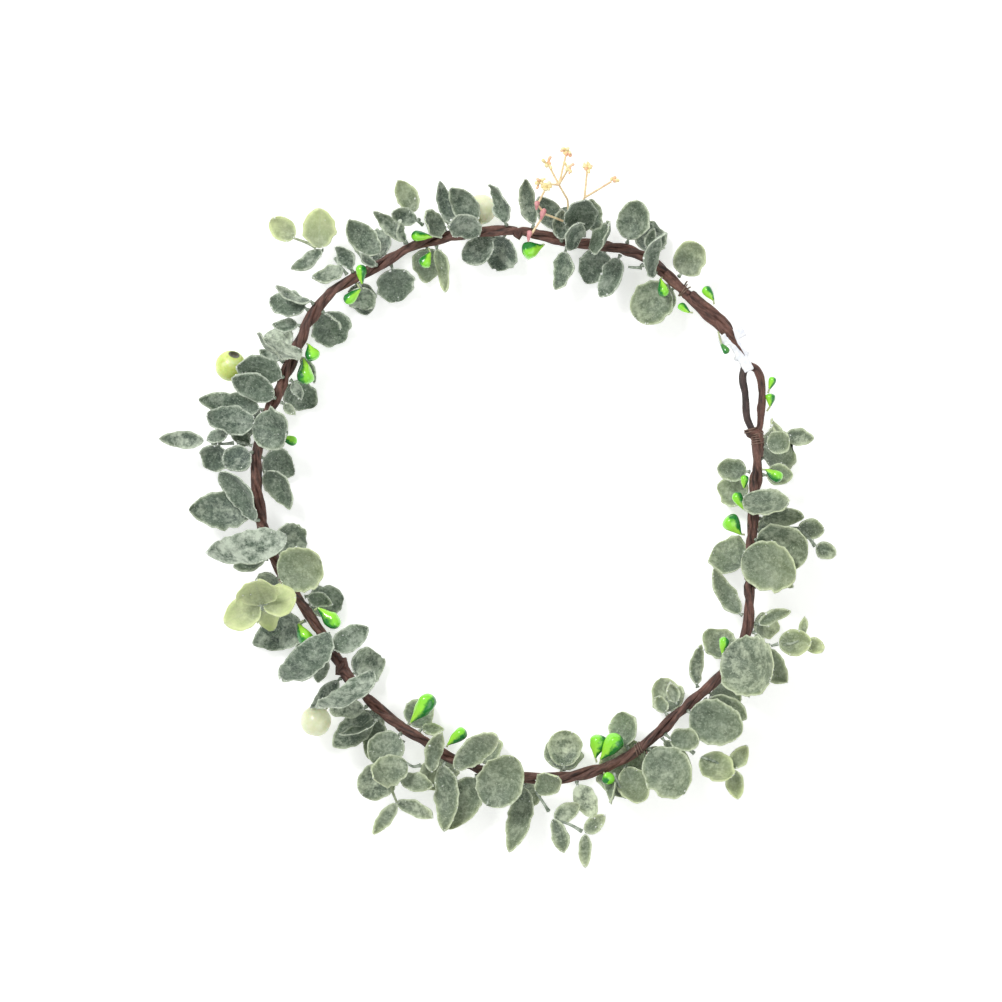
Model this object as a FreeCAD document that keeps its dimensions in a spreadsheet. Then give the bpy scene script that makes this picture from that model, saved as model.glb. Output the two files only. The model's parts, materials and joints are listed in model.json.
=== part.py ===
import FreeCAD, Part
import math
import os

# Eucalyptus flower crown: a bendable ring of twisted wire in brown paper tape, open at one place,
# with a wire eye at each of the two ends and a white satin tie between them.  Leaf sprigs, bud picks,
# berries and one flower spray are taped on around it.
#
# Frame: the crown lies flat.  +Z is up, the origin is the centre of the ring on the surface that it
# lies on, and the opening is at a bearing of about 32 degrees (counted from +X towards +Y).
# A place on the crown is given as (bearing in degrees, mm outside the ring oval).  Bearings beyond 360
# continue along the lower arm as far as its eye.

Vector = FreeCAD.Vector
doc = FreeCAD.newDocument("flower_crown")

# ---------------------------------------------------------------- driving dimensions
DIMENSIONS = [
    ("ring_radius", 91.6, "mean radius of the wire ring"),
    ("ring_oval", 4.7, "the ring is wider by this along oval_bearing"),
    ("oval_bearing", 105.4, "direction of the long axis of the oval"),
    ("ring_lobe", 3.6, "three-cornered bulge of the hand-bent ring"),
    ("lobe_bearing", 43.8, "direction of the first bulge"),
    ("wire_height", 14.0, "centre of the wire above the resting plane"),
    ("core_radius", 0.75, "each of the two core wires"),
    ("core_spacing", 1.6, "between the centres of the core wires"),
    ("tape_bore", 1.65, "inner radius of the paper tape sleeve"),
    ("tape_radius", 2.3, "outer radius of the paper tape sleeve"),
    ("hinge_gap", 0.5, "between two neighbouring tape sleeves"),
    ("eye_wire_radius", 1.4, "taped wire of the two end eyes"),
    ("binding_radius", 0.3, "thin wire of the bindings"),
    ("leaf_thickness", 0.6, "moulded leaf"),
    ("stalk_radius", 0.6, "stalks of the leaves"),
    ("clearance", 0.15, "between pieces that only touch"),
    ("berry_radius", 5.4, "foam berries"),
    ("bud_stalk_radius", 0.4, "wire stalks of buds and berries"),
    ("bud_length", 9.0, "bud mould, scaled for each bud"),
    ("bud_radius", 2.6, "bud mould at its fattest"),
    ("leaf_length", 14.0, "leaf moulds, scaled for each leaf"),
    ("round_ratio", 0.95, "width over length of a round leaf"),
    ("broad_ratio", 0.8, "width over length of a broad leaf"),
    ("oval_ratio", 0.62, "width over length of an oval leaf"),
    ("narrow_ratio", 0.4, "width over length of a narrow leaf"),
    ("cup_radius", 13.0, "radius of the hollow of the leaf moulds"),
    ("opening_per_hinge", 4.5, "largest opening turn of each bend of the ring"),
]

sheet = doc.addObject("Spreadsheet::Sheet", "Dimensions")
for row, (alias, value, meaning) in enumerate(DIMENSIONS, start=1):
    sheet.set("A%d" % row, meaning)
    sheet.set("B%d" % row, str(value))
    sheet.setAlias("B%d" % row, alias)
doc.recompute()


def dim(alias):
    return float(getattr(sheet, alias))


def bind(item, prop, expression):
    item.setExpression(prop, expression)


# ---------------------------------------------------------------- the ring and its parts
# How far the wire wanders off the oval: (bearing, mm outwards).
WANDER = [
    (39, 1.0), (46, -1.0), (54, -1.0), (62, 0.5), (71, -1.5), (80, -3.0), (90, -0.5), (100, 0.5),
    (110, 1.5), (122, 0.7), (134, 2.2), (145, -1.0), (157, -2.5), (169, 0.2), (180, 1.0), (194, 1.6),
    (206, 0.0), (216, -0.4), (226, 1.0), (245, 0.5), (262, 0.6), (280, 0.2), (292, 0.0), (301, -1.4),
    (310, -0.8), (318, 2.2), (326, 4.4), (334, 2.4), (342, -0.8), (351, -2.2), (360, -2.5), (369, -1.2),
    (375, -0.6),
]

# Lengths of the ring that move together, from bearing to bearing.  Neighbours meet at a bend.
SEGMENTS = [
    ("upper_end", 50.0, 90.0),
    ("upper_mid", 90.0, 134.3),
    ("upper_side", 134.3, 187.5),
    ("front", 187.5, 224.3),
    ("lower_side", 224.3, 285.3),
    ("lower_mid", 285.3, 339.7),
    ("lower_end", 339.7, 375.0),
]


def oval_radius(bearing):
    oval = dim("ring_oval") * math.cos(math.radians(2 * (bearing - dim("oval_bearing"))))
    lobe = dim("ring_lobe") * math.cos(math.radians(3 * (bearing - dim("lobe_bearing"))))
    return dim("ring_radius") + oval + lobe


def place(bearing, outwards, above=0.0):
    """A point near the ring: mm outside the oval, and mm above the wire's own height."""
    radius = oval_radius(bearing) + outwards
    angle = math.radians(bearing)
    return Vector(radius * math.cos(angle), radius * math.sin(angle), dim("wire_height") + above)


def spline(points):
    curve = Part.BSplineCurve()
    curve.interpolate(points)
    return curve


wire_line = spline([place(bearing, outwards) for bearing, outwards in WANDER])


def wire_parameter(bearing):
    """The curve parameter where the wire passes a bearing, by halving."""
    low, high = wire_line.FirstParameter, wire_line.LastParameter
    for _ in range(40):
        middle = (low + high) / 2
        point = wire_line.value(middle)
        seen = math.degrees(math.atan2(point.y, point.x)) % 360
        if bearing > 300 and seen < 180:
            seen += 360
        if seen < bearing:
            low = middle
        else:
            high = middle
    return (low + high) / 2


def wire_point(bearing):
    return wire_line.value(wire_parameter(bearing))


def wire_direction(bearing):
    return Vector(*wire_line.tangent(wire_parameter(bearing))[0]).normalize()


def facing(origin, direction, up=Vector(0, 0, 1)):
    """A placement whose +X points along a direction, with its +Z as near to up as it can be."""
    rotation = FreeCAD.Rotation(direction, Vector(0, 0, 0), up, "XZY")
    return FreeCAD.Placement(origin, rotation)


nodes = []


def keep(item, label):
    item.Label = label
    nodes.append(item)
    return item


def swept_rod(name, edge, radius, above=0.0):
    """A round rod along an edge, radius given as an expression."""
    spine = doc.addObject("Part::Feature", name + "_line")
    spine.Shape = edge
    start = edge.valueAt(edge.FirstParameter)
    direction = edge.tangentAt(edge.FirstParameter)
    profile = doc.addObject("Part::Circle", name + "_profile")
    bind(profile, "Radius", radius)
    turn = FreeCAD.Rotation(Vector(0, 0, 1), direction)
    profile.Placement = FreeCAD.Placement(start + Vector(0, 0, above), turn)
    rod = doc.addObject("Part::Sweep", name)
    rod.Sections = [profile]
    rod.Spine = (spine, ["Edge1"])
    rod.Solid = True
    rod.Frenet = False
    return rod


def segment_edge(low, high, shorten):
    """The wire line between two bearings, shortened by half a gap at both ends."""
    first, last = wire_parameter(low), wire_parameter(high)
    edge = Part.Edge(wire_line, first, last)
    first = edge.getParameterByLength(shorten)
    last = edge.getParameterByLength(edge.Length - shorten)
    return Part.Edge(wire_line, first, last)


def build_segment(name, low, high):
    edge = segment_edge(low, high, dim("hinge_gap") / 2)
    outer = swept_rod(name + "_tape_outside", edge, "Dimensions.tape_radius")
    bore = swept_rod(name + "_tape_inside", edge, "Dimensions.tape_bore")
    tape = doc.addObject("Part::Cut", name + "_tape")
    tape.Base = outer
    tape.Tool = bore
    keep(tape, name + "_paper_tape")
    raised = dim("core_spacing") / 2
    wires = []
    for side, above in (("upper", raised), ("lower", -raised)):
        lifted = edge.copy()
        lifted.translate(Vector(0, 0, above))
        wires.append(swept_rod("%s_%s_wire" % (name, side), lifted, "Dimensions.core_radius"))
    core = doc.addObject("Part::Compound", name + "_core")
    core.Links = wires
    keep(core, name + "_core_wires")


for segment_name, segment_low, segment_high in SEGMENTS:
    build_segment(segment_name, segment_low, segment_high)


# ---------------------------------------------------------------- how the crown bends
# The ring opens at its bends by turning about +Z there.  The two arms turn opposite ways.
ARMS = {
    "upper_side": ("front", 187.5, 1),
    "upper_mid": ("upper_side", 134.3, 1),
    "upper_end": ("upper_mid", 90.0, 1),
    "lower_side": ("front", 224.3, -1),
    "lower_mid": ("lower_side", 285.3, -1),
    "lower_end": ("lower_mid", 339.7, -1),
}

# Picks that bend on their own wire: parent, foot (bearing, outwards, above), turn either way about +Z.
PICKS = {
    "left_tip_sprig": ("upper_side", (169.6, 9.0, 0.0), 8),
    "upper_tip_sprig": ("upper_mid", (128.0, 13.5, 1.0), 8),
    "bottom_tip_sprig": ("lower_side", (245.6, 17.0, 0.0), 8),
    "corner_tip_sprig": ("lower_mid", (304.4, 13.0, 0.0), 8),
    "right_tip_sprig": ("lower_mid", (329.2, 14.0, 0.0), 8),
    "flower_spray": ("upper_end", (79.3, 3.0, 3.5), 10),
    "green_berry": ("upper_side", (156.3, 3.5, -3.0), 8),
    "front_berry": ("lower_side", (228.0, 5.5, -2.0), 8),
    "cream_berry": ("upper_mid", (98.0, 3.2, -2.5), 6),
}


def turned_about(pivot, degrees):
    return FreeCAD.Placement(Vector(0, 0, 0), FreeCAD.Rotation(Vector(0, 0, 1), degrees), pivot)


def bent_frame(body, opening, swing):
    """Where a body goes when every bend opens by a part and every pick swings by a part of its limit."""
    if body == "front":
        return FreeCAD.Placement()
    if body in ARMS:
        parent, bearing, side = ARMS[body]
        turn = turned_about(wire_point(bearing), side * opening * dim("opening_per_hinge"))
    else:
        parent, foot, limit = PICKS[body]
        turn = turned_about(place(*foot), swing * limit)
    return bent_frame(parent, opening, swing).multiply(turn)


# Shapes of the crown in which nothing may touch: (opening, swing), each a part of its limit.
SHAPES = [(0, 0), (1, 0), (0, -1), (0, 1), (1, 1)]
BODIES = ["front"] + list(ARMS) + list(PICKS)
FRAMES = {(body, shape): bent_frame(body, *shape) for body in BODIES for shape in SHAPES}


class Room:
    """Remembers sample points of what is already on the crown, to find out whether a new piece is clear."""

    def __init__(self, reach):
        self.reach = reach
        self.cells = {}

    def cell(self, point):
        return tuple(int(math.floor(value / self.reach)) for value in point)

    def add(self, body, points, owner):
        for shape in SHAPES:
            frame = FRAMES[body, shape]
            for point in points:
                moved = frame.multVec(point)
                self.cells.setdefault((shape, self.cell(moved)), []).append((moved, owner))

    def blocked(self, body, points, own):
        for shape in SHAPES:
            frame = FRAMES[body, shape]
            for point in points:
                moved = frame.multVec(point)
                x, y, z = self.cell(moved)
                for i in (x - 1, x, x + 1):
                    for j in (y - 1, y, y + 1):
                        for k in (z - 1, z, z + 1):
                            for other, owner in self.cells.get((shape, (i, j, k)), ()):
                                if owner not in own and other.distanceToPoint(moved) < self.reach:
                                    return True
        return False


SAMPLE_STEP = 1.7      # mm between neighbouring sample points of a leaf
LEAF_TO_LEAF = 1.35    # mm kept between the sample points of two leaves
LEAF_TO_TAPE = 1.1     # mm kept between a leaf and the tape
FOOT_TO_TAPE = 0.65    # the same for the part of a leaf beside its foot
WIRE_STEP = 0.8        # degrees between the sample points of the wire
leaf_room = Room(LEAF_TO_LEAF)
wire_room = Room(dim("tape_radius") + LEAF_TO_TAPE)
foot_room = Room(dim("tape_radius") + FOOT_TO_TAPE)


def stretch(low, high, step):
    count = int((high - low) / step)
    return [low + step * index for index in range(count + 1)]


for segment_name, segment_low, segment_high in SEGMENTS:
    wire_points = [wire_point(bearing) for bearing in stretch(segment_low, segment_high, WIRE_STEP)]
    wire_room.add(segment_name, wire_points, "wire")
    foot_room.add(segment_name, wire_points, "wire")


# ---------------------------------------------------------------- the leaf moulds
KINDS = ["round", "broad", "oval", "narrow"]


def width_ratio(kind):
    return dim(kind + "_ratio")


def build_leaf_mould(kind):
    """A cupped leaf along +X from the origin, hollow side up: part of a ball's wall, cut to an ellipse."""
    outside = doc.addObject("Part::Sphere", kind + "_cup_outside")
    bind(outside, "Radius", "Dimensions.cup_radius")
    inside = doc.addObject("Part::Sphere", kind + "_cup_inside")
    bind(inside, "Radius", "Dimensions.cup_radius - Dimensions.leaf_thickness")
    wall = doc.addObject("Part::Cut", kind + "_cup")
    wall.Base = outside
    wall.Tool = inside
    outline = doc.addObject("Part::Ellipse", kind + "_outline")
    bind(outline, "MajorRadius", "Dimensions.leaf_length / 2")
    bind(outline, "MinorRadius", "Dimensions.leaf_length / 2 * Dimensions.%s_ratio" % kind)
    column = doc.addObject("Part::Extrusion", kind + "_column")
    column.Base = outline
    column.Dir = Vector(0, 0, -1)
    bind(column, "LengthFwd", "Dimensions.cup_radius + 1")
    column.Solid = True
    leaf = doc.addObject("Part::Common", kind + "_leaf_mould")
    leaf.Base = wall
    leaf.Tool = column
    return leaf


moulds = {kind: build_leaf_mould(kind) for kind in KINDS}
doc.recompute()


def leaf_surface(kind, length, x_part, y_part):
    """A point of a leaf's mid-surface in the leaf's own frame, whose origin is the foot of the leaf."""
    cup = (dim("cup_radius") - dim("leaf_thickness") / 2) * length / dim("leaf_length")
    x = (x_part - 0.5) * length
    half_width = math.sqrt(max(0.0, 1 - (2 * x_part - 1) ** 2)) * length / 2 * width_ratio(kind)
    y = y_part * half_width
    foot_depth = math.sqrt(cup ** 2 - (length / 2) ** 2)
    return Vector(x + length / 2, y, foot_depth - math.sqrt(cup ** 2 - x ** 2 - y ** 2))


def leaf_samples(kind, length):
    along = max(5, int(length / SAMPLE_STEP))
    across = max(3, int(length * width_ratio(kind) / SAMPLE_STEP))
    return [leaf_surface(kind, length, (i + 0.5) / along, 2 * j / across - 1)
            for i in range(along) for j in range(across + 1)]


def leaf_frame(foot, tip, rise, roll):
    """The frame of a leaf that points from foot towards tip in plan, climbs by rise and leans by roll."""
    heading = math.degrees(math.atan2(tip.y - foot.y, tip.x - foot.x))
    turn = FreeCAD.Rotation(Vector(0, 0, 1), heading)
    climb = FreeCAD.Rotation(Vector(0, 1, 0), -rise)
    lean = FreeCAD.Rotation(Vector(1, 0, 0), roll)
    return FreeCAD.Placement(foot, turn.multiply(climb).multiply(lean))


TRIES = [0, 7, -7, 14, -14, 21, -21, 28, -28, 36, -36, 45, -45, 54, -54]
LEANS = [0, 12, -12, 25, -25]
STEEPEST = 62          # degrees that a leaf climbs or drops at most
FLOOR_GAP = 0.35       # mm between a leaf's mid-surface and the resting plane, at least
FOOT_FREE = 0.22       # part of a leaf's length beside its foot, where it may be close to the wire
LONGEST = 1.2          # a leaf that bends away is at most this much longer than planned


def settle_leaf(owner, body, foot, tip, kind, roll, rise):
    """Tries to bend a leaf at its foot, as hands do, until it is clear of all that is on the crown."""
    spread = math.hypot(tip.x - foot.x, tip.y - foot.y)
    planned = spread / math.cos(math.radians(rise))
    for lean in LEANS:
        for bend in TRIES:
            climb = rise + bend
            if abs(climb) > STEEPEST:
                continue
            length = min(spread / math.cos(math.radians(climb)), planned * LONGEST)
            frame = leaf_frame(foot, tip, climb, roll + lean)
            samples = [frame.multVec(point) for point in leaf_samples(kind, length)]
            if min(point.z for point in samples) < FLOOR_GAP:
                continue
            near = [point for point in samples if point.distanceToPoint(foot) < FOOT_FREE * length]
            outer = [point for point in samples if point.distanceToPoint(foot) >= FOOT_FREE * length]
            sprig = owner[0]
            stem = sprig + "_stem"
            if wire_room.blocked(body, outer, ()) or leaf_room.blocked(body, outer, (owner, stem)):
                continue
            if foot_room.blocked(body, near, ()) or leaf_room.blocked(body, near, (owner, stem, sprig)):
                continue
            leaf_room.add(body, outer, owner)
            leaf_room.add(body, near, sprig)
            return frame, length
    return None


def leaf_solid(kind, length, frame):
    solid = moulds[kind].Shape.Solids[0].copy()
    cup = dim("cup_radius") - dim("leaf_thickness") / 2
    half = dim("leaf_length") / 2
    solid.translate(Vector(half, 0, math.sqrt(cup ** 2 - half ** 2)))
    solid.scale(length / dim("leaf_length"), Vector(0, 0, 0))
    solid.transformShape(frame.toMatrix())
    return solid


def rod(start, end, radius):
    line = end - start
    return Part.makeCylinder(radius, line.Length, start, line)


def nearest_on_wire(point):
    return wire_line.value(wire_line.parameter(point))


FOOT_DISTANCE = 3.5    # mm from the wire line to the foot of a leaf, at least


def clear_foot(foot):
    """The foot of a leaf, moved out of the tape where it is too close."""
    centre = nearest_on_wire(foot)
    out = foot - centre
    if out.Length >= FOOT_DISTANCE:
        return foot
    return centre + out.normalize() * FOOT_DISTANCE


SHORTEST_STALK = 0.3   # a foot closer than this to the tape needs no stalk


def stalk_from_wire(foot, radius):
    """A stalk from the skin of the tape to a point, or nothing where the point is at the skin already."""
    centre = nearest_on_wire(foot)
    out = foot - centre
    skin = dim("tape_radius") + dim("clearance") + radius / 4
    if out.Length < skin + SHORTEST_STALK:
        return []
    start = centre + out.normalize() * skin
    return [rod(start, foot, radius)]


# ---------------------------------------------------------------- the sprigs
# Each sprig: name, body, stem as places, leaves.  Each leaf: foot place, tip place (bearing, outwards),
# kind, roll, rise.  A roll near 70 shows the leaf edge-on from above, as a crescent.
SPRIGS = [
    ("upper_end_sprig_1", "upper_end", [], [
        ((54.3, -3.4, -1.5), (56.0, -18.0), "round", 0, -6),
        ((53.6, 2.2, 0.0), (54.3, 13.5), "round", 0, 10),
        ((58.4, -4.5, 3.4), (61.3, 11.0), "narrow", 60, 8),
        ((62.3, 3.4, -1.5), (62.8, 10.0), "oval", 40, 10),
        ((61.5, -2.6, 0.0), (64.3, -5.0), "narrow", 40, 0),
    ]),
    ("upper_end_sprig_2", "upper_end", [], [
        ((66.6, 2.4, 0.5), (67.6, 16.0), "broad", 0, 10),
        ((67.0, -3.2, 0.0), (67.4, -17.5), "oval", 30, -6),
        ((73.8, -3.6, 2.8), (70.5, 8.0), "oval", -50, 12),
        ((73.5, 2.4, 1.0), (76.0, 12.0), "oval", 10, 5),
        ((75.8, 1.6, 2.0), (79.8, 13.5), "oval", 0, 25),
        ((77.0, -5.0, 3.4), (78.2, 6.5), "oval", 50, 15),
        ((80.3, -3.0, 3.0), (81.2, 6.5), "oval", 40, 15),
        ((81.5, 0.6, 0.5), (85.6, 10.5), "oval", 0, 5),
        ((78.9, -5.8, -0.5), (79.6, -19.0), "oval", 40, -8),
        ((86.7, 1.5, 1.5), (88.6, 16.0), "narrow", 20, 20),
    ]),
    ("upper_mid_sprig_1", "upper_mid", [(109.8, 4.5, 0.5), (109.9, 12.6, 1.0)], [
        ((92.6, 1.8, 2.0), (94.8, 15.0), "oval", -50, 15),
        ((95.5, -3.0, -1.0), (102.3, -7.5), "broad", 0, -8),
        ((98.9, 3.2, 1.2), (102.0, 16.0), "oval", -20, 18),
        ((98.6, -1.0, 3.4), (104.4, 5.5), "oval", -35, 18),
        ((103.4, 4.6, 0.5), (104.0, 19.0), "narrow", 15, 5),
        ((105.3, 4.4, 2.0), (110.0, 9.5), "broad", 0, 10),
        ((109.9, 12.6, 1.0), (110.8, 23.7), "oval", 0, 8),
        ((110.2, 9.5, 1.5), (113.8, 14.5), "oval", 0, 12),
        ((114.2, 3.4, -1.0), (116.8, 17.0), "narrow", -20, 5),
        ((113.8, 3.6, 1.5), (113.2, 13.0), "narrow", 65, 20),
        ((108.2, -1.6, -0.5), (109.6, -16.0), "narrow", 30, -6),
    ]),
    ("upper_mid_sprig_2", "upper_mid", [(127.5, 4.8, 0.0), (127.9, 12.4, 0.8)], [
        ((119.8, 3.2, 0.5), (121.8, 18.0), "oval", 20, 10),
        ((121.6, 1.2, 3.0), (123.8, 9.5), "narrow", 45, 15),
        ((119.0, -2.0, -1.5), (121.3, -12.3), "round", 0, -36),
        ((127.0, -2.4, -1.0), (129.5, -8.3), "round", 0, -42),
        ((126.5, 4.4, 2.0), (126.0, 13.0), "oval", -35, 25),
        ((127.7, 6.2, 1.5), (133.0, 9.8), "oval", 0, 5),
    ]),
    ("upper_tip_sprig", "upper_tip_sprig", [(128.0, 13.5, 1.0), (129.2, 18.0, 1.5), (131.1, 25.0, 2.0)], [
        ((128.9, 17.0, 1.5), (125.0, 27.0), "broad", 0, 12),
        ((128.6, 15.8, 1.0), (134.5, 17.3), "narrow", 20, 0),
        ((131.1, 25.0, 2.0), (131.8, 34.3), "broad", 0, 8),
    ]),
    ("upper_side_sprig_1", "upper_side", [], [
        ((136.9, 4.4, 1.5), (139.2, 16.0), "narrow", 65, 15),
        ((136.8, -1.2, 1.0), (136.9, -8.5), "narrow", 65, -5),
        ((138.6, 4.0, 0.5), (141.6, 15.0), "broad", 25, 10),
        ((142.2, 2.6, -1.5), (145.0, 9.5), "oval", 30, 5),
        ((146.4, -3.5, 3.2), (149.0, 17.0), "narrow", 40, 14),
        ((150.5, 1.6, 0.8), (150.7, 8.5), "oval", 30, 15),
        ((147.5, -4.2, -2.0), (150.5, -12.0), "narrow", 20, -22),
    ]),
    ("upper_side_sprig_2", "upper_side", [(169.2, 3.4, 0.0), (169.5, 8.0, 0.0)], [
        ((153.5, -2.0, 3.0), (155.2, 12.5), "oval", -30, 14),
        ((153.3, -5.2, 0.5), (155.8, -10.5), "oval", 20, -15),
        ((158.3, -2.0, 3.0), (157.8, 12.3), "oval", -20, 6),
        ((158.7, -5.2, 0.0), (160.0, -10.0), "oval", 0, -15),
        ((161.6, 1.2, 0.5), (163.2, 21.5), "narrow", 0, 5),
        ((164.5, 2.4, 2.5), (165.8, 18.0), "oval", 20, 20),
        ((165.4, 2.6, 3.4), (164.8, -9.5), "round", 0, 4),
        ((169.4, 3.0, -1.0), (167.0, 10.0), "oval", 0, -5),
        ((170.9, 2.8, 2.0), (174.0, 11.0), "round", 10, 16),
    ]),
    ("left_tip_sprig", "left_tip_sprig", [(169.6, 9.0, 0.0), (170.3, 14.0, 0.5), (170.2, 19.5, 1.0)], [
        ((170.2, 19.5, 1.0), (171.0, 33.7), "narrow", 0, 6),
        ((170.0, 18.5, 1.0), (167.2, 11.5), "oval", -30, 15),
        ((170.5, 14.0, 1.0), (174.8, 17.0), "round", 0, 10),
    ]),
    ("upper_side_sprig_3", "upper_side", [], [
        ((185.6, 3.2, 2.6), (176.4, 12.4), "oval", -60, 10),
        ((183.2, 3.2, -1.5), (182.6, 24.0), "oval", 0, 2),
        ((174.5, -2.4, -1.0), (182.6, -8.8), "oval", 10, -8),
    ]),
    ("front_sprig_1", "front", [], [
        ((190.2, -5.5, 3.4), (190.6, 19.5), "narrow", 20, 8),
        ((194.3, 4.2, -1.5), (194.2, 15.0), "narrow", 30, 0),
        ((198.9, 2.2, 3.4), (198.6, -12.5), "round", 0, 2),
    ]),
    ("front_rosette", "front", [(203.6, 2.6, 1.5), (203.3, 12.0, 6.0)], [
        ((203.3, 12.6, 6.2), (203.6, 25.0), "broad", 0, 8),
        ((202.9, 12.0, 6.2), (196.2, 9.0), "round", 0, 10),
        ((203.4, 11.6, 6.5), (204.5, 0.8), "round", 0, 14),
        ((204.2, 12.6, 5.6), (210.2, 13.0), "oval", 0, -4),
    ]),
    ("front_sprig_2", "front", [], [
        ((210.6, 3.0, -1.5), (209.3, 20.0), "oval", 0, -4),
        ((205.6, -3.0, -0.5), (209.8, -8.5), "oval", 0, -10),
        ((216.3, -3.0, 3.2), (218.0, 21.0), "narrow", 25, 12),
        ((219.6, 3.6, -1.5), (222.8, 10.0), "oval", 0, -10),
        ((219.8, -1.0, 3.2), (221.3, -14.0), "oval", 0, -2),
    ]),
    ("lower_side_sprig_1", "lower_side", [], [
        ((225.9, 4.4, -0.5), (225.7, 17.0), "narrow", 20, 10),
        ((230.6, -7.0, 4.0), (226.6, 15.0), "narrow", 50, 12),
        ((234.3, 3.8, 1.0), (229.4, 13.0), "oval", -30, 10),
        ((236.4, 4.2, -1.0), (233.8, 20.3), "oval", 10, 0),
        ((237.8, 3.8, 1.8), (233.6, 15.5), "narrow", 65, 22),
    ]),
    ("lower_side_sprig_2", "lower_side", [(245.0, 4.0, -0.5), (245.2, 14.6, 0.0)], [
        ((243.7, 3.4, 2.4), (241.5, 15.5), "round", 0, 8),
        ((247.6, 9.8, 3.5), (242.6, 21.0), "oval", 0, 15),
        ((238.0, 3.8, -1.5), (240.5, 15.5), "oval", 0, -2),
        ((244.9, 15.0, -0.8), (242.9, 27.3), "round", 0, -4),
        ((247.3, 15.5, 1.0), (253.2, 12.5), "oval", -30, 10),
        ((252.6, 8.0, 3.6), (252.0, -5.5), "narrow", 25, 6),
        ((247.6, -3.2, -1.5), (252.0, -7.0), "oval", -20, -12),
    ]),
    ("bottom_tip_sprig", "bottom_tip_sprig", [(245.6, 17.0, 0.0), (248.5, 24.0, 1.0)], [
        ((248.5, 24.0, 1.0), (247.0, 36.3), "narrow", 0, 8),
        ((248.4, 23.6, 1.0), (254.6, 22.5), "narrow", 20, 12),
    ]),
    ("lower_side_sprig_3", "lower_side", [], [
        ((254.6, 3.4, 0.5), (257.6, 23.3), "narrow", 20, 10),
        ((261.5, 3.8, -1.0), (258.4, 22.5), "oval", 0, -2),
        ((257.0, 3.4, 3.2), (264.6, -12.5), "narrow", 15, 8),
        ((264.3, 12.0, 4.5), (268.8, -5.5), "broad", 0, 4),
        ((271.4, 3.6, -1.0), (268.9, 25.0), "narrow", 20, 2),
    ]),
    ("lower_side_sprig_4", "lower_side", [(273.0, 3.2, 0.5), (276.0, 14.0, 1.0), (281.2, 21.0, 1.5)], [
        ((273.6, 5.2, 2.0), (278.6, -1.5), "oval", 0, 18),
        ((276.4, 15.0, 1.0), (280.8, 10.8), "oval", 0, 6),
        ((276.2, 14.5, 1.0), (277.2, 25.0), "narrow", 20, 14),
        ((281.2, 21.0, 1.5), (280.3, 31.5), "narrow", 0, 8),
        ((281.2, 20.6, 1.5), (284.8, 16.5), "oval", 0, 0),
        ((281.6, 3.2, 0.5), (283.2, 15.0), "oval", 0, 8),
        ((279.6, -2.8, 0.0), (281.0, -14.5), "round", 10, -8),
    ]),
    ("lower_mid_sprig_1", "lower_mid", [], [
        ((289.4, 13.0, 3.5), (293.8, -4.5), "broad", 0, 6),
        ((286.9, 3.0, 0.5), (286.9, 15.0), "narrow", 60, 12),
        ((291.6, 3.2, -1.5), (291.8, 17.0), "oval", 0, -2),
        ((293.4, -3.0, -0.5), (295.0, -13.5), "round", 0, -10),
    ]),
    ("lower_mid_sprig_2", "lower_mid", [(303.6, 2.0, 0.0), (304.3, 12.5, 0.0)], [
        ((297.4, 1.2, 1.5), (299.0, 19.0), "broad", 0, 8),
        ((300.8, 2.2, -1.5), (302.0, 15.0), "narrow", 20, 0),
        ((301.9, 2.6, 2.5), (306.0, 9.5), "broad", 0, 15),
        ((304.2, -3.8, -0.5), (304.6, -10.5), "broad", 0, -5),
        ((307.3, -3.6, -0.5), (308.8, -10.5), "oval", 0, -5),
    ]),
    ("corner_tip_sprig", "corner_tip_sprig", [(304.4, 13.0, 0.0), (308.0, 25.8, 1.0)], [
        ((304.9, 15.0, 0.4), (307.0, 26.5), "broad", -20, 22),
        ((308.0, 25.8, 1.0), (306.0, 33.7), "oval", 0, 8),
        ((308.0, 25.4, 1.0), (312.0, 24.3), "oval", 0, 4),
    ]),
    ("lower_mid_sprig_3", "lower_mid", [(328.2, 7.0, 0.5), (329.1, 13.5, 0.5)], [
        ((308.3, 0.8, 2.6), (313.0, 18.0), "broad", 0, 10),
        ((312.6, 2.6, -1.0), (315.6, 17.0), "oval", 30, 5),
        ((313.2, -2.6, -0.5), (320.0, -8.7), "narrow", 20, -5),
        ((318.0, 5.4, 0.5), (319.0, 14.0), "narrow", 40, 10),
        ((323.1, -0.5, 3.4), (323.6, 19.0), "broad", 0, 8),
        ((326.5, 8.0, -1.0), (325.3, 23.0), "oval", 0, 0),
        ((331.6, 6.4, 0.5), (336.6, 15.5), "narrow", 20, 6),
        ((329.8, 7.0, 1.5), (326.9, 10.8), "narrow", 40, 30),
        ((332.0, 0.6, -0.5), (338.4, -12.5), "narrow", 15, -6),
    ]),
    ("right_tip_sprig", "right_tip_sprig", [(329.2, 14.0, 0.0), (330.2, 16.0, 0.5), (333.1, 24.7, 1.5)], [
        ((330.4, 16.0, 0.8), (333.0, 25.5), "broad", 0, 20),
        ((333.1, 24.7, 1.5), (333.1, 31.0), "broad", 0, 8),
        ((332.7, 23.0, 1.4), (336.6, 22.0), "narrow", 0, 5),
    ]),
    ("lower_end_sprig_1", "lower_end", [(352.2, 1.2, 0.0), (353.3, 13.5, 0.5), (350.2, 20.5, 1.0)], [
        ((341.2, 2.2, 0.5), (341.4, 14.0), "narrow", 60, 12),
        ((345.0, -4.5, 3.4), (343.6, 13.0), "broad", 0, 4),
        ((349.3, -0.5, 3.4), (348.6, 16.0), "round", 0, 10),
        ((353.3, 13.5, 0.5), (353.4, 21.8), "broad", 0, -4),
        ((350.2, 20.5, 1.0), (349.4, 27.0), "broad", 0, 12),
        ((354.4, 0.8, -0.5), (355.6, 14.0), "oval", 30, 5),
    ]),
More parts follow.
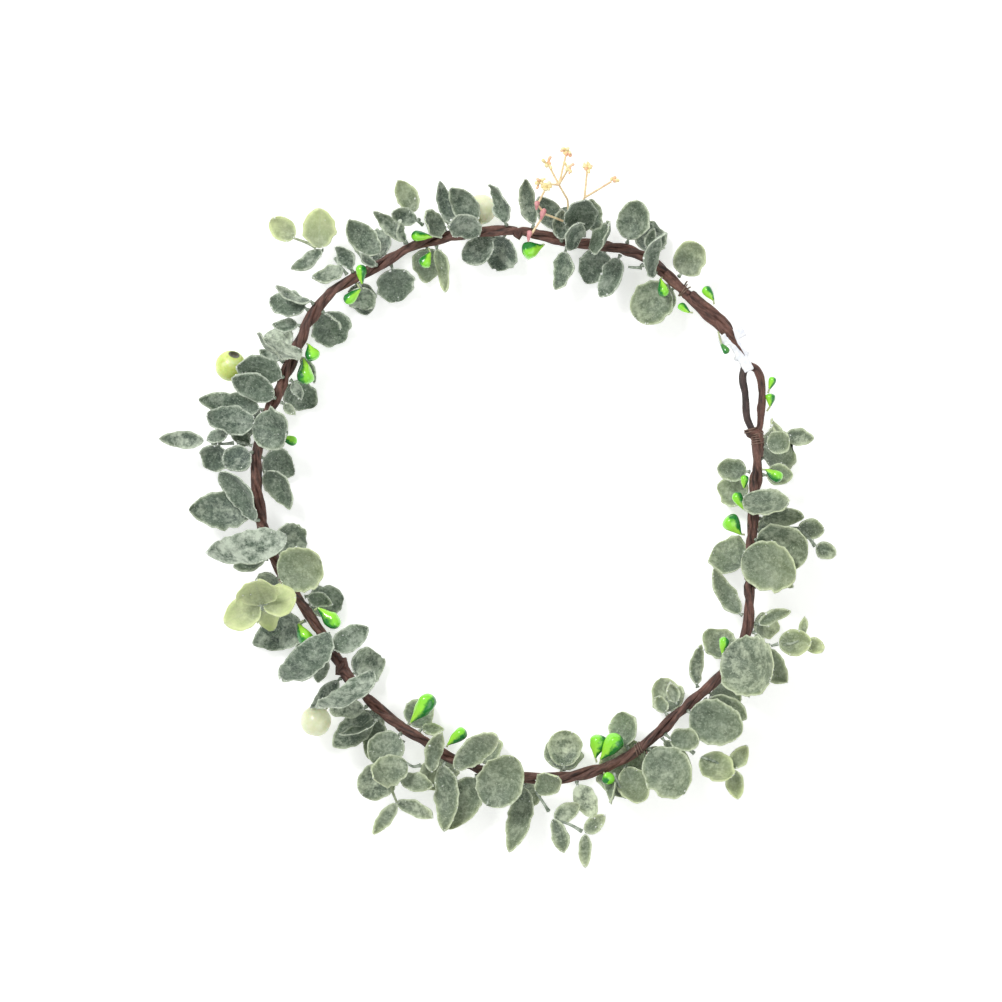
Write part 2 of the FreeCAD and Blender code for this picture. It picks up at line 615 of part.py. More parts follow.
    ("lower_end_sprig_2", "lower_end", [(371.2, 2.2, 0.0), (372.5, 9.0, 0.5)], [
        ((359.6, -5.8, 3.4), (357.6, 10.0), "oval", -40, 12),
        ((364.7, 0.8, 0.5), (364.3, 10.0), "broad", 0, 8),
        ((365.8, -4.6, -0.5), (367.5, -14.5), "broad", 0, -5),
        ((370.9, 2.4, 1.0), (371.8, 9.5), "round", 0, 22),
        ((372.5, 9.0, 0.5), (371.0, 18.0), "oval", 0, 8),
        ((372.5, 8.8, 0.5), (376.3, 5.4), "narrow", 50, 10),
    ]),
]

SHORT_STALK = 6.5      # a foot farther than this from the wire stands on the sprig's stem
STEM_STEP = 1.0        # mm between the sample points of a stem


def nearest_on_stem(point, stem):
    best = None
    for first, second in zip(stem, stem[1:]):
        line = second - first
        part = min(1.0, max(0.0, (point - first).dot(line) / line.dot(line)))
        found = first + line * part
        if best is None or found.distanceToPoint(point) < best.distanceToPoint(point):
            best = found
    return best


def leaf_stalk(foot, stem):
    radius = dim("stalk_radius")
    if nearest_on_wire(foot).distanceToPoint(foot) < SHORT_STALK or not stem:
        return stalk_from_wire(foot, radius)
    start = nearest_on_stem(foot, stem)
    if start.distanceToPoint(foot) < radius:
        return []
    return [rod(start, foot, radius)]


def add_shape(name, shape, origin):
    """A finished group of solids as a document object whose placement is at its foot on the wire."""
    to_foot = FreeCAD.Matrix()
    to_foot.move(origin * -1)
    item = doc.addObject("Part::Feature", name)
    item.Shape = shape.transformed(to_foot, True)
    item.Placement = FreeCAD.Placement(origin, FreeCAD.Rotation())
    return keep(item, name)


# Leaves on the underside, which carry the crown: on both sides of the wire in turn.
UNDER_MARGIN = 3       # degrees from a bend of the ring to the first of them
UNDER_STEP = 8.6       # degrees between two of them
UNDER_FOOT = (2.0, -2.6)       # mm from the wire line to the foot, sideways and up
UNDER_SPREAD = 9.5     # mm that such a leaf reaches out in plan
UNDER_DRIFT = 3        # mm that its tip lies along the ring from its foot
UNDER_RISE = -40


def underside_leaves():
    """For each body, the leaves below its tape as (foot, tip, kind, roll, rise)."""
    found = {}
    for body, low, high in SEGMENTS:
        for index, bearing in enumerate(stretch(low + UNDER_MARGIN, high - UNDER_MARGIN, UNDER_STEP)):
            side = 1 if index % 2 else -1
            centre = wire_point(bearing)
            outwards = Vector(centre.x, centre.y, 0).normalize() * side
            along = wire_direction(bearing)
            foot = centre + outwards * UNDER_FOOT[0] + Vector(0, 0, UNDER_FOOT[1])
            tip = foot + outwards * UNDER_SPREAD + along * UNDER_DRIFT
            kind = "broad" if index % 3 else "round"
            found.setdefault(body, []).append((foot, tip, kind, 0, UNDER_RISE))
    return found


def build_sprig(name, body, stem_places, leaves, under):
    stem = [place(*spot) for spot in stem_places]
    solids = [rod(first, second, dim("stalk_radius")) for first, second in zip(stem, stem[1:])]
    for first, second in zip(stem, stem[1:]):
        leaf_room.add(body, line_samples(first, second, STEM_STEP), name + "_stem")
    listed = [(clear_foot(place(*foot)), place(*tip), kind, roll, rise)
              for foot, tip, kind, roll, rise in leaves]
    for index, (foot, tip, kind, roll, rise) in enumerate(listed + under):
        settled = settle_leaf((name, index), body, foot, tip, kind, roll, rise)
        if settled:
            solids.append(leaf_solid(kind, settled[1], settled[0]))
            solids.extend(leaf_stalk(foot, stem))
        elif index < len(listed):
            print("no room for leaf", index, "of", name, kind, leaves[index][0])
    return solids


# ---------------------------------------------------------------- the two end eyes and the tie
def eye_tip(bearing, outwards, radius, ahead):
    """Places around the round end of an eye, whose circle has its middle at (bearing, outwards)."""
    per_degree = math.radians(dim("ring_radius"))
    turns = [math.radians(turn) for turn in (70, 35, 0, -35, -70)]
    return [(bearing + ahead * radius * math.cos(turn) / per_degree, outwards + radius * math.sin(turn))
            for turn in turns]


UPPER_EYE = (
    [(49.3, 0.7), (44.0, 1.1), (40.4, 2.7)]
    + eye_tip(36.6, 1.5, 2.25, -1)
    + [(40.4, -0.9), (44.0, -2.2), (49.3, -2.6)]
)
LOWER_EYE = (
    [(375.9, 0.9), (379.5, 2.2), (383.5, 4.1)]
    + eye_tip(387.7, 1.9, 2.6, 1)
    + [(384.0, -1.8), (380.0, -3.1), (375.9, -2.2)]
)


def build_eye(name, places):
    edge = spline([place(*spot) for spot in places]).toShape()
    keep(swept_rod(name, edge, "Dimensions.eye_wire_radius"), name)


build_eye("upper_wire_eye", UPPER_EYE)
build_eye("lower_wire_eye", LOWER_EYE)


def build_binding(name, bearings):
    """Turns of thin wire around the tape."""
    turns = []
    for index, bearing in enumerate(bearings):
        turn = doc.addObject("Part::Torus", "%s_turn_%d" % (name, index + 1))
        bind(turn, "Radius1", "Dimensions.tape_radius + Dimensions.binding_radius + Dimensions.clearance")
        bind(turn, "Radius2", "Dimensions.binding_radius")
        rotation = FreeCAD.Rotation(Vector(0, 0, 1), wire_direction(bearing))
        turn.Placement = FreeCAD.Placement(wire_point(bearing), rotation)
        turns.append(turn)
    group = doc.addObject("Part::Compound", name)
    group.Links = turns
    keep(group, name)


build_binding("upper_neck_binding", [50.6, 51.1, 51.6])
build_binding("lower_neck_binding", [373.2, 373.7, 374.2, 374.7])
build_binding("lower_mid_binding", [295.3, 295.8])

TIE_THICKNESS = 0.5
TIE_BEARING = 36.6     # middle of the band on the upper eye
TIE_MIDDLE = 1.5       # mm outside the oval
TIE_AHEAD = 5          # the tails point to the place this many degrees on
BAND = (4.0, 8.6, 3.6)         # along the wire, and the hollow across it and in height
TAIL = (13.5, 3.4)             # length and width of the two tails
KNOT = (1.3, 2.7, 2.45)        # half sizes
KNOT_PLACE = 7.75              # from the middle of the band


def centred_box(length, width, height, middle):
    corner = middle - Vector(length / 2, width / 2, height / 2)
    return Part.makeBox(length, width, height, corner)


def build_tie():
    """Satin tie: a band around the upper eye, a knot in the gap, and tails above and below the lower eye."""
    length, width, height = BAND
    wall = 2 * TIE_THICKNESS
    outer = centred_box(length, width + wall, height + wall, Vector(0, 0, 0))
    inner = centred_box(length + wall, width, height, Vector(0, 0, 0))
    band = outer.cut(inner)
    tails = []
    for side in (-1, 1):
        level = side * (height + TIE_THICKNESS) / 2
        tails.append(centred_box(TAIL[0], TAIL[1], TIE_THICKNESS, Vector(TAIL[0] / 2, 0, level)))
    stretched = FreeCAD.Matrix()
    stretched.scale(*KNOT)
    knot = Part.makeSphere(1).transformGeometry(stretched)
    knot.translate(Vector(KNOT_PLACE, 0, 0))
    shape = band.fuse([tails[0], tails[1], knot]).removeSplitter()
    start = place(TIE_BEARING, TIE_MIDDLE)
    ahead = place(TIE_BEARING - TIE_AHEAD, TIE_MIDDLE)
    item = doc.addObject("Part::Feature", "tie_ribbon")
    item.Shape = shape
    item.Placement = FreeCAD.Placement(start, FreeCAD.Rotation(Vector(1, 0, 0), ahead - start))
    return keep(item, "tie_ribbon")


build_tie()


# ---------------------------------------------------------------- buds
# For each body: foot place, tip place, fatness against the mould, and where the stalk starts if it is
# not at the wire line.
BUDS = {
    "upper_end": [
        ((44.9, 3.9, -0.8), (48.2, 4.7, -0.8), 0.9, (44.2, 3.05, -0.5)),
        ((46.8, -5.3, -0.8), (49.9, -6.0, -0.8), 0.9, (46.2, -4.5, -0.5)),
        ((56.6, -3.4, 2.2), (53.6, -7.4, 3.6), 0.9, None),
        ((84.2, -5.4, 0.0), (89.0, -8.2, 0.5), 1.15, None),
        ((36.6, -3.1, 4.4), (34.0, -2.6, 5.0), 0.9, (39.2, -1.6, 1.8)),
    ],
    "upper_mid": [
        ((108.4, 2.4, 3.4), (112.4, 5.0, 4.0), 0.75, None),
        ((109.9, -2.6, 1.5), (112.8, -6.4, 1.5), 1.1, None),
        ((126.4, -2.0, 3.4), (124.4, 3.8, 5.2), 0.8, None),
        ((127.5, -3.2, 2.0), (132.0, -3.6, 2.5), 0.8, None),
    ],
    "upper_side": [
        ((144.3, -4.2, 0.0), (146.6, -9.0, 0.5), 1.3, None),
        ((147.6, -5.6, 2.4), (152.4, -10.8, 3.4), 0.95, None),
        ((166.2, -7.2, -2.0), (166.7, -13.0, -2.4), 0.9, None),
    ],
    "front": [
        ((210.4, 4.4, 0.8), (215.4, 5.0, 1.2), 0.95, None),
        ((209.4, -4.4, 0.4), (216.4, -7.0, 0.6), 0.8, None),
    ],
    "lower_side": [
        ((244.8, -2.8, 1.0), (247.0, -15.4, 2.2), 0.85, None),
        ((254.3, -3.2, 0.5), (257.4, -10.8, 1.5), 0.85, None),
    ],
    "lower_mid": [
        ((287.4, -3.0, 2.0), (293.0, -8.2, 3.5), 0.85, None),
        ((286.4, -4.0, 0.0), (288.8, -11.2, 0.5), 1.1, None),
        ((287.2, 2.4, 3.2), (287.8, 4.4, 8.0), 1.2, None),
        ((322.0, -0.6, 1.0), (325.6, -2.6, 1.4), 0.8, None),
    ],
    "lower_end": [
        ((350.0, -6.0, 0.5), (354.2, -11.6, 0.8), 1.45, None),
        ((356.4, -5.8, 0.0), (360.6, -9.4, 0.4), 0.8, None),
        ((361.8, -6.2, 1.2), (365.0, -6.0, 1.8), 0.9, None),
        ((365.8, 1.4, 3.0), (363.4, 6.6, 5.5), 0.95, None),
        ((379.4, 5.6, 0.0), (381.9, 6.8, 0.2), 1.1, (378.6, 4.1, 0.0)),
        ((382.9, 6.8, 0.4), (384.8, 9.4, 0.8), 0.9, (382.2, 5.9, 0.2)),
    ],
}


def build_bud_mould():
    """A bud along +Z: a slender cone that ends in a ball."""
    cone = doc.addObject("Part::Cone", "bud_neck")
    bind(cone, "Radius1", "Dimensions.bud_stalk_radius")
    bind(cone, "Radius2", "Dimensions.bud_radius")
    bind(cone, "Height", "Dimensions.bud_length - Dimensions.bud_radius")
    ball = doc.addObject("Part::Sphere", "bud_head")
    bind(ball, "Radius", "Dimensions.bud_radius")
    bind(ball, "Placement.Base.z", "Dimensions.bud_length - Dimensions.bud_radius")
    bud = doc.addObject("Part::Fuse", "bud_mould")
    bud.Base = cone
    bud.Tool = ball
    return bud


bud_mould = build_bud_mould()
doc.recompute()


BUD_SWELL = 1.25       # a bud is this much fatter than the mould at fatness 1
BUD_WIDEST = 1.3       # and never more than this
BUD_STEP = 1.5         # mm between the sample points of a bud
BUD_SKIN = 0.8         # they lie at this part of its radius


def bud_solid(foot, tip, fatness):
    """The bud mould, stretched to reach from foot to tip."""
    line = tip - foot
    grow = FreeCAD.Matrix()
    size = line.Length / dim("bud_length")
    wide = min(size * fatness * BUD_SWELL, BUD_WIDEST)
    grow.scale(wide, wide, size)
    solid = bud_mould.Shape.transformGeometry(grow).Solids[0]
    turn = FreeCAD.Placement(foot, FreeCAD.Rotation(Vector(0, 0, 1), line))
    solid.transformShape(turn.toMatrix())
    return solid, wide * dim("bud_radius")


def line_samples(start, end, step):
    count = max(1, int(start.distanceToPoint(end) / step))
    return [start + (end - start) * (index / count) for index in range(count + 1)]


def build_buds(body, buds):
    solids = []
    for foot_place, tip_place, fatness, stalk_start in buds:
        foot = place(*foot_place)
        tip = place(*tip_place)
        solid, radius = bud_solid(foot, tip, fatness)
        solids.append(solid)
        if stalk_start:
            solids.append(rod(place(*stalk_start), foot, dim("bud_stalk_radius")))
        else:
            solids.extend(stalk_from_wire(foot, dim("bud_stalk_radius")))
        axis = (tip - foot).normalize()
        side = axis.cross(Vector(0, 0, 1))
        for centre in line_samples(foot, tip, BUD_STEP):
            ring = [centre + FreeCAD.Rotation(axis, turn).multVec(side) * (radius * BUD_SKIN)
                    for turn in range(0, 360, 60)]
            leaf_room.add(body, [centre] + ring, body + "_buds")
    add_shape(body + "_buds", Part.makeCompound(solids), place(*buds[0][0]))


for bud_body, bud_list in BUDS.items():
    build_buds(bud_body, bud_list)


# ---------------------------------------------------------------- berries and the flower spray
# Centre of each berry, and the direction of its dimple from there.
BERRIES = {
    "green_berry": ((155.8, 16.4, -2.0), (150.0, 17.5, 6.0)),
    "front_berry": ((228.2, 20.2, -3.0), (231.0, 30.0, -3.0)),
    "cream_berry": ((97.4, 8.6, -7.5), (97.4, 20.0, -7.5)),
}
DIMPLE = (0.3, 1.1, 1.3)       # radius at the bottom and at the skin, and depth
DIMPLE_PROUD = 0.2             # mm that the cutting cone stands out of the skin
BERRY_SKIN = 0.3               # mm below the skin, where the sample points lie


def build_berry(name, centre_place, dimple_place):
    centre = place(*centre_place)
    foot = place(*PICKS[name][1])
    ball = doc.addObject("Part::Sphere", name + "_ball")
    bind(ball, "Radius", "Dimensions.berry_radius")
    ball.Placement = FreeCAD.Placement(centre, FreeCAD.Rotation())
    outwards = (place(*dimple_place) - centre).normalize()
    bottom_radius, top_radius, depth = DIMPLE
    dimple = doc.addObject("Part::Cone", name + "_dimple")
    dimple.Radius1 = bottom_radius
    dimple.Radius2 = top_radius
    dimple.Height = depth + DIMPLE_PROUD
    bottom = centre + outwards * (dim("berry_radius") - depth)
    dimple.Placement = FreeCAD.Placement(bottom, FreeCAD.Rotation(Vector(0, 0, 1), outwards))
    berry = doc.addObject("Part::Cut", name)
    berry.Base = ball
    berry.Tool = dimple
    keep(berry, name)
    inwards = (foot - centre).normalize()
    end = centre + inwards * (dim("berry_radius") + dim("clearance"))
    add_shape(name + "_stalk", rod(foot, end, dim("bud_stalk_radius")), foot)
    for tilt in range(-60, 61, 30):
        ray = FreeCAD.Rotation(Vector(0, 1, 0), tilt).multVec(Vector(dim("berry_radius") - BERRY_SKIN, 0, 0))
        skin = [centre + FreeCAD.Rotation(Vector(0, 0, 1), turn).multVec(ray) for turn in range(0, 360, 30)]
        leaf_room.add(name, skin, name)
    leaf_room.add(name, line_samples(foot, end, STEM_STEP), name)


for berry_name, (berry_centre, berry_dimple) in BERRIES.items():
    build_berry(berry_name, berry_centre, berry_dimple)

# Branches of the spray as chains of places; blossoms sit at their ends.
SPRAY_RADIUS = 0.45
BLOSSOM_RADIUS = 1.0
SPRAY = [
    [(79.3, 3.0, 3.5), (80.5, 11.0, 7.5), (82.5, 15.5, 10.0), (82.0, 26.0, 12.0)],
    [(82.5, 15.5, 10.0), (84.6, 21.5, 12.5)],
    [(82.5, 15.5, 10.0), (81.4, 20.5, 14.0)],
    [(82.5, 15.5, 10.0), (85.2, 15.4, 11.5)],
    [(79.3, 3.0, 3.5), (77.4, 12.5, 8.0), (78.0, 22.0, 10.5)],
    [(77.4, 12.5, 8.0), (73.4, 20.0, 11.0)],
    [(79.3, 3.0, 3.5), (84.6, 5.0, 10.0), (87.4, -3.0, 10.0)],
    [(84.6, 5.0, 10.0), (86.2, 8.0, 12.0), (85.0, 13.0, 13.0)],
]


def build_spray():
    stems = []
    blossoms = []
    for chain in SPRAY:
        points = [place(*spot) for spot in chain]
        for first, second in zip(points, points[1:]):
            stems.append(rod(first, second, SPRAY_RADIUS))
            leaf_room.add("flower_spray", line_samples(first, second, STEM_STEP), "flower_spray")
        tip = points[-1]
        out = (tip - points[-2]).normalize()
        blossoms.append(Part.makeSphere(BLOSSOM_RADIUS, tip + out * (BLOSSOM_RADIUS + dim("clearance"))))
    whole = stems[0]
    whole = whole.multiFuse(stems[1:])
    add_shape("flower_spray_stems", whole, place(*PICKS["flower_spray"][1]))
    add_shape("flower_spray_blossoms", Part.makeCompound(blossoms), place(*PICKS["flower_spray"][1]))


build_spray()


# ---------------------------------------------------------------- all sprigs, in the order they are tied
under_leaves = underside_leaves()
for sprig_name, sprig_body, sprig_stem, sprig_leaves in SPRIGS:
    sprigs_of_body = [entry[0] for entry in SPRIGS if entry[1] == sprig_body]
    last_of_body = sprigs_of_body[-1] == sprig_name
    beneath = under_leaves.get(sprig_body, []) if last_of_body else []
    built = build_sprig(sprig_name, sprig_body, sprig_stem, sprig_leaves, beneath)
    sprig_foot = place(*(sprig_stem[0] if sprig_stem else sprig_leaves[0][0]))
    add_shape(sprig_name, Part.makeCompound(built), sprig_foot)
doc.recompute()

# ---------------------------------------------------------------- check and write
for item in doc.Objects:
    if "Invalid" in item.State or "Error" in item.State:
        raise RuntimeError("%s failed to compute" % item.Label)
for item in nodes:
    if item.Shape.isNull() or not item.Shape.isValid():
        raise RuntimeError("%s has no valid shape" % item.Label)

os.makedirs("parts", exist_ok=True)
for item in nodes:
    item.Shape.exportStep("parts/%s.step" % item.Label)
print(len(nodes), "nodes,", sum(len(item.Shape.Solids) for item in nodes), "solids")
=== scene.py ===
import json
import math

import bpy
import numpy as np
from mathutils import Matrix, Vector

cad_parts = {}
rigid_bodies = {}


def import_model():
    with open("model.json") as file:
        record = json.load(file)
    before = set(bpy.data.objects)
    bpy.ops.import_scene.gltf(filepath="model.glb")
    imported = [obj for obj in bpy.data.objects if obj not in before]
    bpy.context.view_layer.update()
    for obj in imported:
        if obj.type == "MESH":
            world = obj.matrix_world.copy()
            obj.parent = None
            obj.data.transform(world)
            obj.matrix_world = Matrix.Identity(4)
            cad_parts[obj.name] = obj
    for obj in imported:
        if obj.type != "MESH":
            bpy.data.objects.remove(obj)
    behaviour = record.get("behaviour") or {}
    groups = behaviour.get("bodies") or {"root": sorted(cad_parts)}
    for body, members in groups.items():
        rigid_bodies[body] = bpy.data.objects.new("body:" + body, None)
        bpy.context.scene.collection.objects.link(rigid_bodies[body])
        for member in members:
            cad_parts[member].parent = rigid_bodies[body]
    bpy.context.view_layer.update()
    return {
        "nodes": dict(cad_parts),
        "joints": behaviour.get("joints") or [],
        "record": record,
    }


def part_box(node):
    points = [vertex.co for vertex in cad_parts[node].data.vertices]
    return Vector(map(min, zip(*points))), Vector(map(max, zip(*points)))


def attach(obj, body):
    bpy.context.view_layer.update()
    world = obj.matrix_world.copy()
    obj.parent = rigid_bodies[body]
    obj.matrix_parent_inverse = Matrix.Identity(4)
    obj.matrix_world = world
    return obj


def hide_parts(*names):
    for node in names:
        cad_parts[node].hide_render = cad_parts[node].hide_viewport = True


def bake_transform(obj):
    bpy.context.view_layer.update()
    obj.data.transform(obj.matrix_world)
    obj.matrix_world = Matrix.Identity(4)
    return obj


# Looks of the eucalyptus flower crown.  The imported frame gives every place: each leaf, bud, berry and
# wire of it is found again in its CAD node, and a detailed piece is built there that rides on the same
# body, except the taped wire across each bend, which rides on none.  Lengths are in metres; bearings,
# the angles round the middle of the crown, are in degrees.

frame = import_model()

MM = 0.001
WELD = 0.0005 * MM  # corners of a CAD mesh closer than this are one
CLOSED = 0.02 * MM  # radius of the closed end of a turned body
UPWARD = np.array([0.0, 0.0, 1.0])
nodes = frame["nodes"]
bodies = frame["record"]["behaviour"]["bodies"]
body_of_node = {node: body for body, members in bodies.items() for node in members}


# ---- small geometry helpers
def unit(vector):
    return vector / np.linalg.norm(vector)


def smooth_step(value, low, high):
    """0 up to low, 1 from high on, and smooth between them."""
    part = np.clip((value - low) / (high - low), 0, 1)
    return part * part * (3 - 2 * part)


def circle_angles(sides):
    return np.arange(sides) * 2 * np.pi / sides


def on_a_line(lengths):
    """Points at the lengths along a straight line, where a Ripple can be read."""
    return np.stack([lengths, lengths * 0, lengths * 0], axis=1)


class Ripple:
    """Smooth random heights over space, mostly between -1 and 1: a sum of waves of about one length."""

    def __init__(self, seed, length, waves=16):
        draw = np.random.default_rng(seed)
        direction = draw.normal(size=(waves, 3))
        direction /= np.linalg.norm(direction, axis=1)[:, None]
        lengths = length * draw.uniform(0.7, 1.5, waves)
        self.turns = direction * (2 * np.pi / lengths)[:, None]
        self.phases = draw.uniform(0, 2 * np.pi, waves)
        self.gain = 1 / math.sqrt(waves)

    def __call__(self, points):
        return np.sin(points @ self.turns.T + self.phases).sum(axis=1) * self.gain


def welded(mesh):
    """Points and triangles of a mesh, with corners that lie together made one."""
    points = np.empty(len(mesh.vertices) * 3)
    mesh.vertices.foreach_get("co", points)
    points = points.reshape(-1, 3)
    corners = np.empty(len(mesh.loops), int)
    mesh.loops.foreach_get("vertex_index", corners)
    keys = np.round(points / WELD).astype(np.int64)
    _, first, back = np.unique(keys, axis=0, return_index=True, return_inverse=True)
    return points[first], back.reshape(-1)[corners].reshape(-1, 3)


def loose_parts(node_name):
    """The solids of a CAD node, each as (points, triangles)."""
    points, triangles = welded(nodes[node_name].data)
    label = np.arange(len(points))
    while True:
        lowest = label[triangles].min(axis=1)
        update = label.copy()
        np.minimum.at(update, triangles.ravel(), np.repeat(lowest, 3))
        update = update[update]
        if (update == label).all():
            break
        label = update
    parts = []
    triangle_label = label[triangles[:, 0]]
    for value in np.unique(triangle_label):
        own = triangles[triangle_label == value]
        used, renamed = np.unique(own, return_inverse=True)
        parts.append((points[used], renamed.reshape(-1, 3)))
    return parts


def principal_frame(points, triangles):
    """Centre and axes of a surface, longest axis first, weighted by area."""
    a, b, c = (points[triangles[:, k]] for k in range(3))
    area = np.linalg.norm(np.cross(b - a, c - a), axis=1)
    middle = (a + b + c) / 3
    centre = (middle * area[:, None]).sum(axis=0) / area.sum()
    out = middle - centre
    spread = (out * area[:, None]).T @ out
    _, vectors = np.linalg.eigh(spread)
    return centre, vectors[:, ::-1].T


def measured(points, triangles):
    """Centre and axes of a solid, its points along them, and the lowest and highest of those."""
    centre, axes = principal_frame(points, triangles)
    local = (points - centre) @ axes.T
    return centre, axes, local, local.min(axis=0), local.max(axis=0)


def rod_ends(centre, axes, low, high):
    return [centre + axes[0] * low[0], centre + axes[0] * high[0]]


# ---- building meshes
def into_scene(name, data):
    item = bpy.data.objects.new(name, data)
    bpy.context.scene.collection.objects.link(item)
    return item


class Piece:
    """Collects sheets and tubes of one piece, each with a material and shading values."""

    def __init__(self, name):
        self.name = name
        self.count = 0
        self.points, self.faces, self.slots = [], [], []
        self.blade, self.coat, self.materials = [], [], []

    def add(self, material, points, faces, blade=(0, 0, 0), coat=(0, 0, 0)):
        """Adds a mesh.  blade is (along, across, chance) and coat is (rim, youth, pale), for each point or
        for all of them.  On taped wire, coat's first value is painted crease shade in place of rim."""
        if material not in self.materials:
            self.materials.append(material)
        self.points.append(points)
        for face in faces:
            self.faces.append([corner + self.count for corner in face])
        self.slots.extend([self.materials.index(material)] * len(faces))
        self.blade.append(np.broadcast_to(np.asarray(blade, float), points.shape))
        self.coat.append(np.broadcast_to(np.asarray(coat, float), points.shape))
        self.count += len(points)

    def finish(self, *replaced):
        """Makes the mesh and hides the CAD nodes that it replaces."""
        mesh = bpy.data.meshes.new(self.name)
        mesh.from_pydata(np.concatenate(self.points).tolist(), [], self.faces)
        for material in self.materials:
            mesh.materials.append(material)
        mesh.polygons.foreach_set("material_index", self.slots)
        mesh.polygons.foreach_set("use_smooth", [True] * len(mesh.polygons))
        for attribute, values in (("blade", self.blade), ("coat", self.coat)):
            layer = mesh.attributes.new(attribute, "FLOAT_VECTOR", "POINT")
            layer.data.foreach_set("vector", np.concatenate(values).astype(np.float32).ravel())
        mesh.update()
        item = into_scene(self.name, mesh)
        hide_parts(*replaced)
        return item

    def stand_in(self, node_name):
        """Finishes the piece in place of one CAD node, on that node's body."""
        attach(self.finish(node_name), body_of_node[node_name])


def tube_faces(rings, sides):
    """Quads between rings of points, with a cap at each end."""
    faces = []
    for ring in range(rings - 1):
        for side in range(sides):
            after = (side + 1) % sides
            low, high = ring * sides, (ring + 1) * sides
            faces.append((low + side, low + after, high + after, high + side))
    faces.append(tuple(range(sides - 1, -1, -1)))
    faces.append(tuple(range((rings - 1) * sides, rings * sides)))
    return faces


def even_path(points, step):
    """A smooth path through the points, with stations about one step apart."""
    points = np.asarray(points, float)
    lengths = np.concatenate([[0], np.cumsum(np.linalg.norm(np.diff(points, axis=0), axis=1))])
    count = max(2, int(round(lengths[-1] / step)) + 1)
    wanted = np.linspace(0, lengths[-1], count)
    slopes = np.gradient(points, lengths, axis=0)
    upper = np.clip(np.searchsorted(lengths, wanted, side="right"), 1, len(points) - 1)
    lower = upper - 1
    width = (lengths[upper] - lengths[lower])[:, None]
    part = ((wanted - lengths[lower])[:, None]) / width
    return (
        (2 * part ** 3 - 3 * part ** 2 + 1) * points[lower]
        + (part ** 3 - 2 * part ** 2 + part) * width * slopes[lower]
        + (3 * part ** 2 - 2 * part ** 3) * points[upper]
        + (part ** 3 - part ** 2) * width * slopes[upper]
    )


def path_frames(path):
    """Side and up directions along a path, carried along without twist."""
    along = np.gradient(path, axis=0)
    along /= np.linalg.norm(along, axis=1)[:, None]
    start = UPWARD if abs(along[0][2]) < 0.9 else np.array([1.0, 0.0, 0.0])
    up = unit(start - along[0] * (start @ along[0]))
    ups = []
    for direction in along:
        up = unit(up - direction * (up @ direction))
        ups.append(up)
    ups = np.array(ups)
    return np.cross(along, ups), ups


def tube(path, radii, sides=10, directions=None):
    """Points and faces of a round tube; radii is one value, one for each station, or a whole grid.
    directions are the two that each ring of points lies in."""
    side, up = directions or path_frames(path)
    angles = circle_angles(sides)[None, :, None]
    radii = np.asarray(radii, float)
    if radii.ndim < 2:
        radii = np.broadcast_to(radii.reshape(-1, 1), (len(path), sides))
    ring = side[:, None, :] * np.cos(angles) + up[:, None, :] * np.sin(angles)
    points = path[:, None, :] + ring * radii[:, :, None]
    return points.reshape(-1, 3), tube_faces(len(path), sides)


# ---- materials
def screen(colour):
    """A colour as it looks on a screen, from 0 to 255, as the shader's linear values."""
    linear = [((part / 255 + 0.055) / 1.055) ** 2.4 if part > 10 else part / 255 / 12.92 for part in colour]
    return (*linear, 1.0)


class Look:
    """A material in the making.  Values are numbers or the outputs of its nodes, and plain colours are as
    they look on a screen, from 0 to 255."""

    def __init__(self, name):
        self.material = bpy.data.materials.new(name)
        self.material.use_nodes = True
        self.tree = self.material.node_tree
        self.surface = self.tree.nodes["Principled BSDF"]
        self.place = self.node("ShaderNodeTexCoord").outputs["Object"]

    def feed(self, socket, value):
        if isinstance(value, bpy.types.NodeSocket):
            self.tree.links.new(value, socket)
        else:
            socket.default_value = value

    def node(self, kind, inputs=None, **settings):
        made = self.tree.nodes.new(kind)
        for key, value in settings.items():
            setattr(made, key, value)
        for key, value in (inputs or {}).items():
            self.feed(made.inputs[key], value)
        return made

    def math(self, operation, *values):
        return self.node("ShaderNodeMath", dict(enumerate(values)), operation=operation).outputs[0]

    def times(self, first, second):
        return self.math("MULTIPLY", first, second)

    def ramp(self, value, low, high, first=0.0, last=1.0):
        """Maps low..high to first..last, and no further."""
        values = dict(enumerate((value, low, high, first, last)))
        return self.node("ShaderNodeMapRange", values).outputs[0]

    def mixed(self, part, first, second):
        """The first colour where part is 0, the second where it is 1."""
        first, second = (screen(value) if isinstance(value, tuple) else value for value in (first, second))
        return self.node("ShaderNodeMix", {0: part, 6: first, 7: second}, data_type="RGBA").outputs[2]

    def tinted(self, base, tint, value, low, high, least=0.0, most=1.0):
        """Turns the base into the tint, from the least part of it at low to the most at high."""
        return self.mixed(self.ramp(value, low, high, least, most), base, tint)

    def noise(self, size, detail=3.0, roughness=0.6, place=None):
        """Noise whose features are about size across."""
        return self.node("ShaderNodeTexNoise", {
            "Vector": self.place if place is None else place,
            "Scale": 1 / size,
            "Detail": detail,
            "Roughness": roughness,
        }).outputs["Fac"]

    def split(self, vector):
        return list(self.node("ShaderNodeSeparateXYZ", {0: vector}).outputs)

    def attribute(self, name):
        """The three values of a piece's blade or coat."""
        return self.split(self.node("ShaderNodeAttribute", attribute_name=name).outputs["Vector"])

    def bump(self, height, distance, strength=1.0):
        values = {"Height": height, "Distance": distance, "Strength": strength}
        return self.node("ShaderNodeBump", values).outputs[0]

    def finish(self, **values):
        """Feeds the surface shader's inputs, named with _ for a space, and gives the material."""
        for key, value in values.items():
            self.feed(self.surface.inputs[key.replace("_", " ")], value)
        return self.material


VEIN_SLANT = 1.1  # part of the leaf's length that a side vein runs on from midrib to rim
VEIN_TURNS = 42.0  # radians of the side veins' wave in a leaf's length


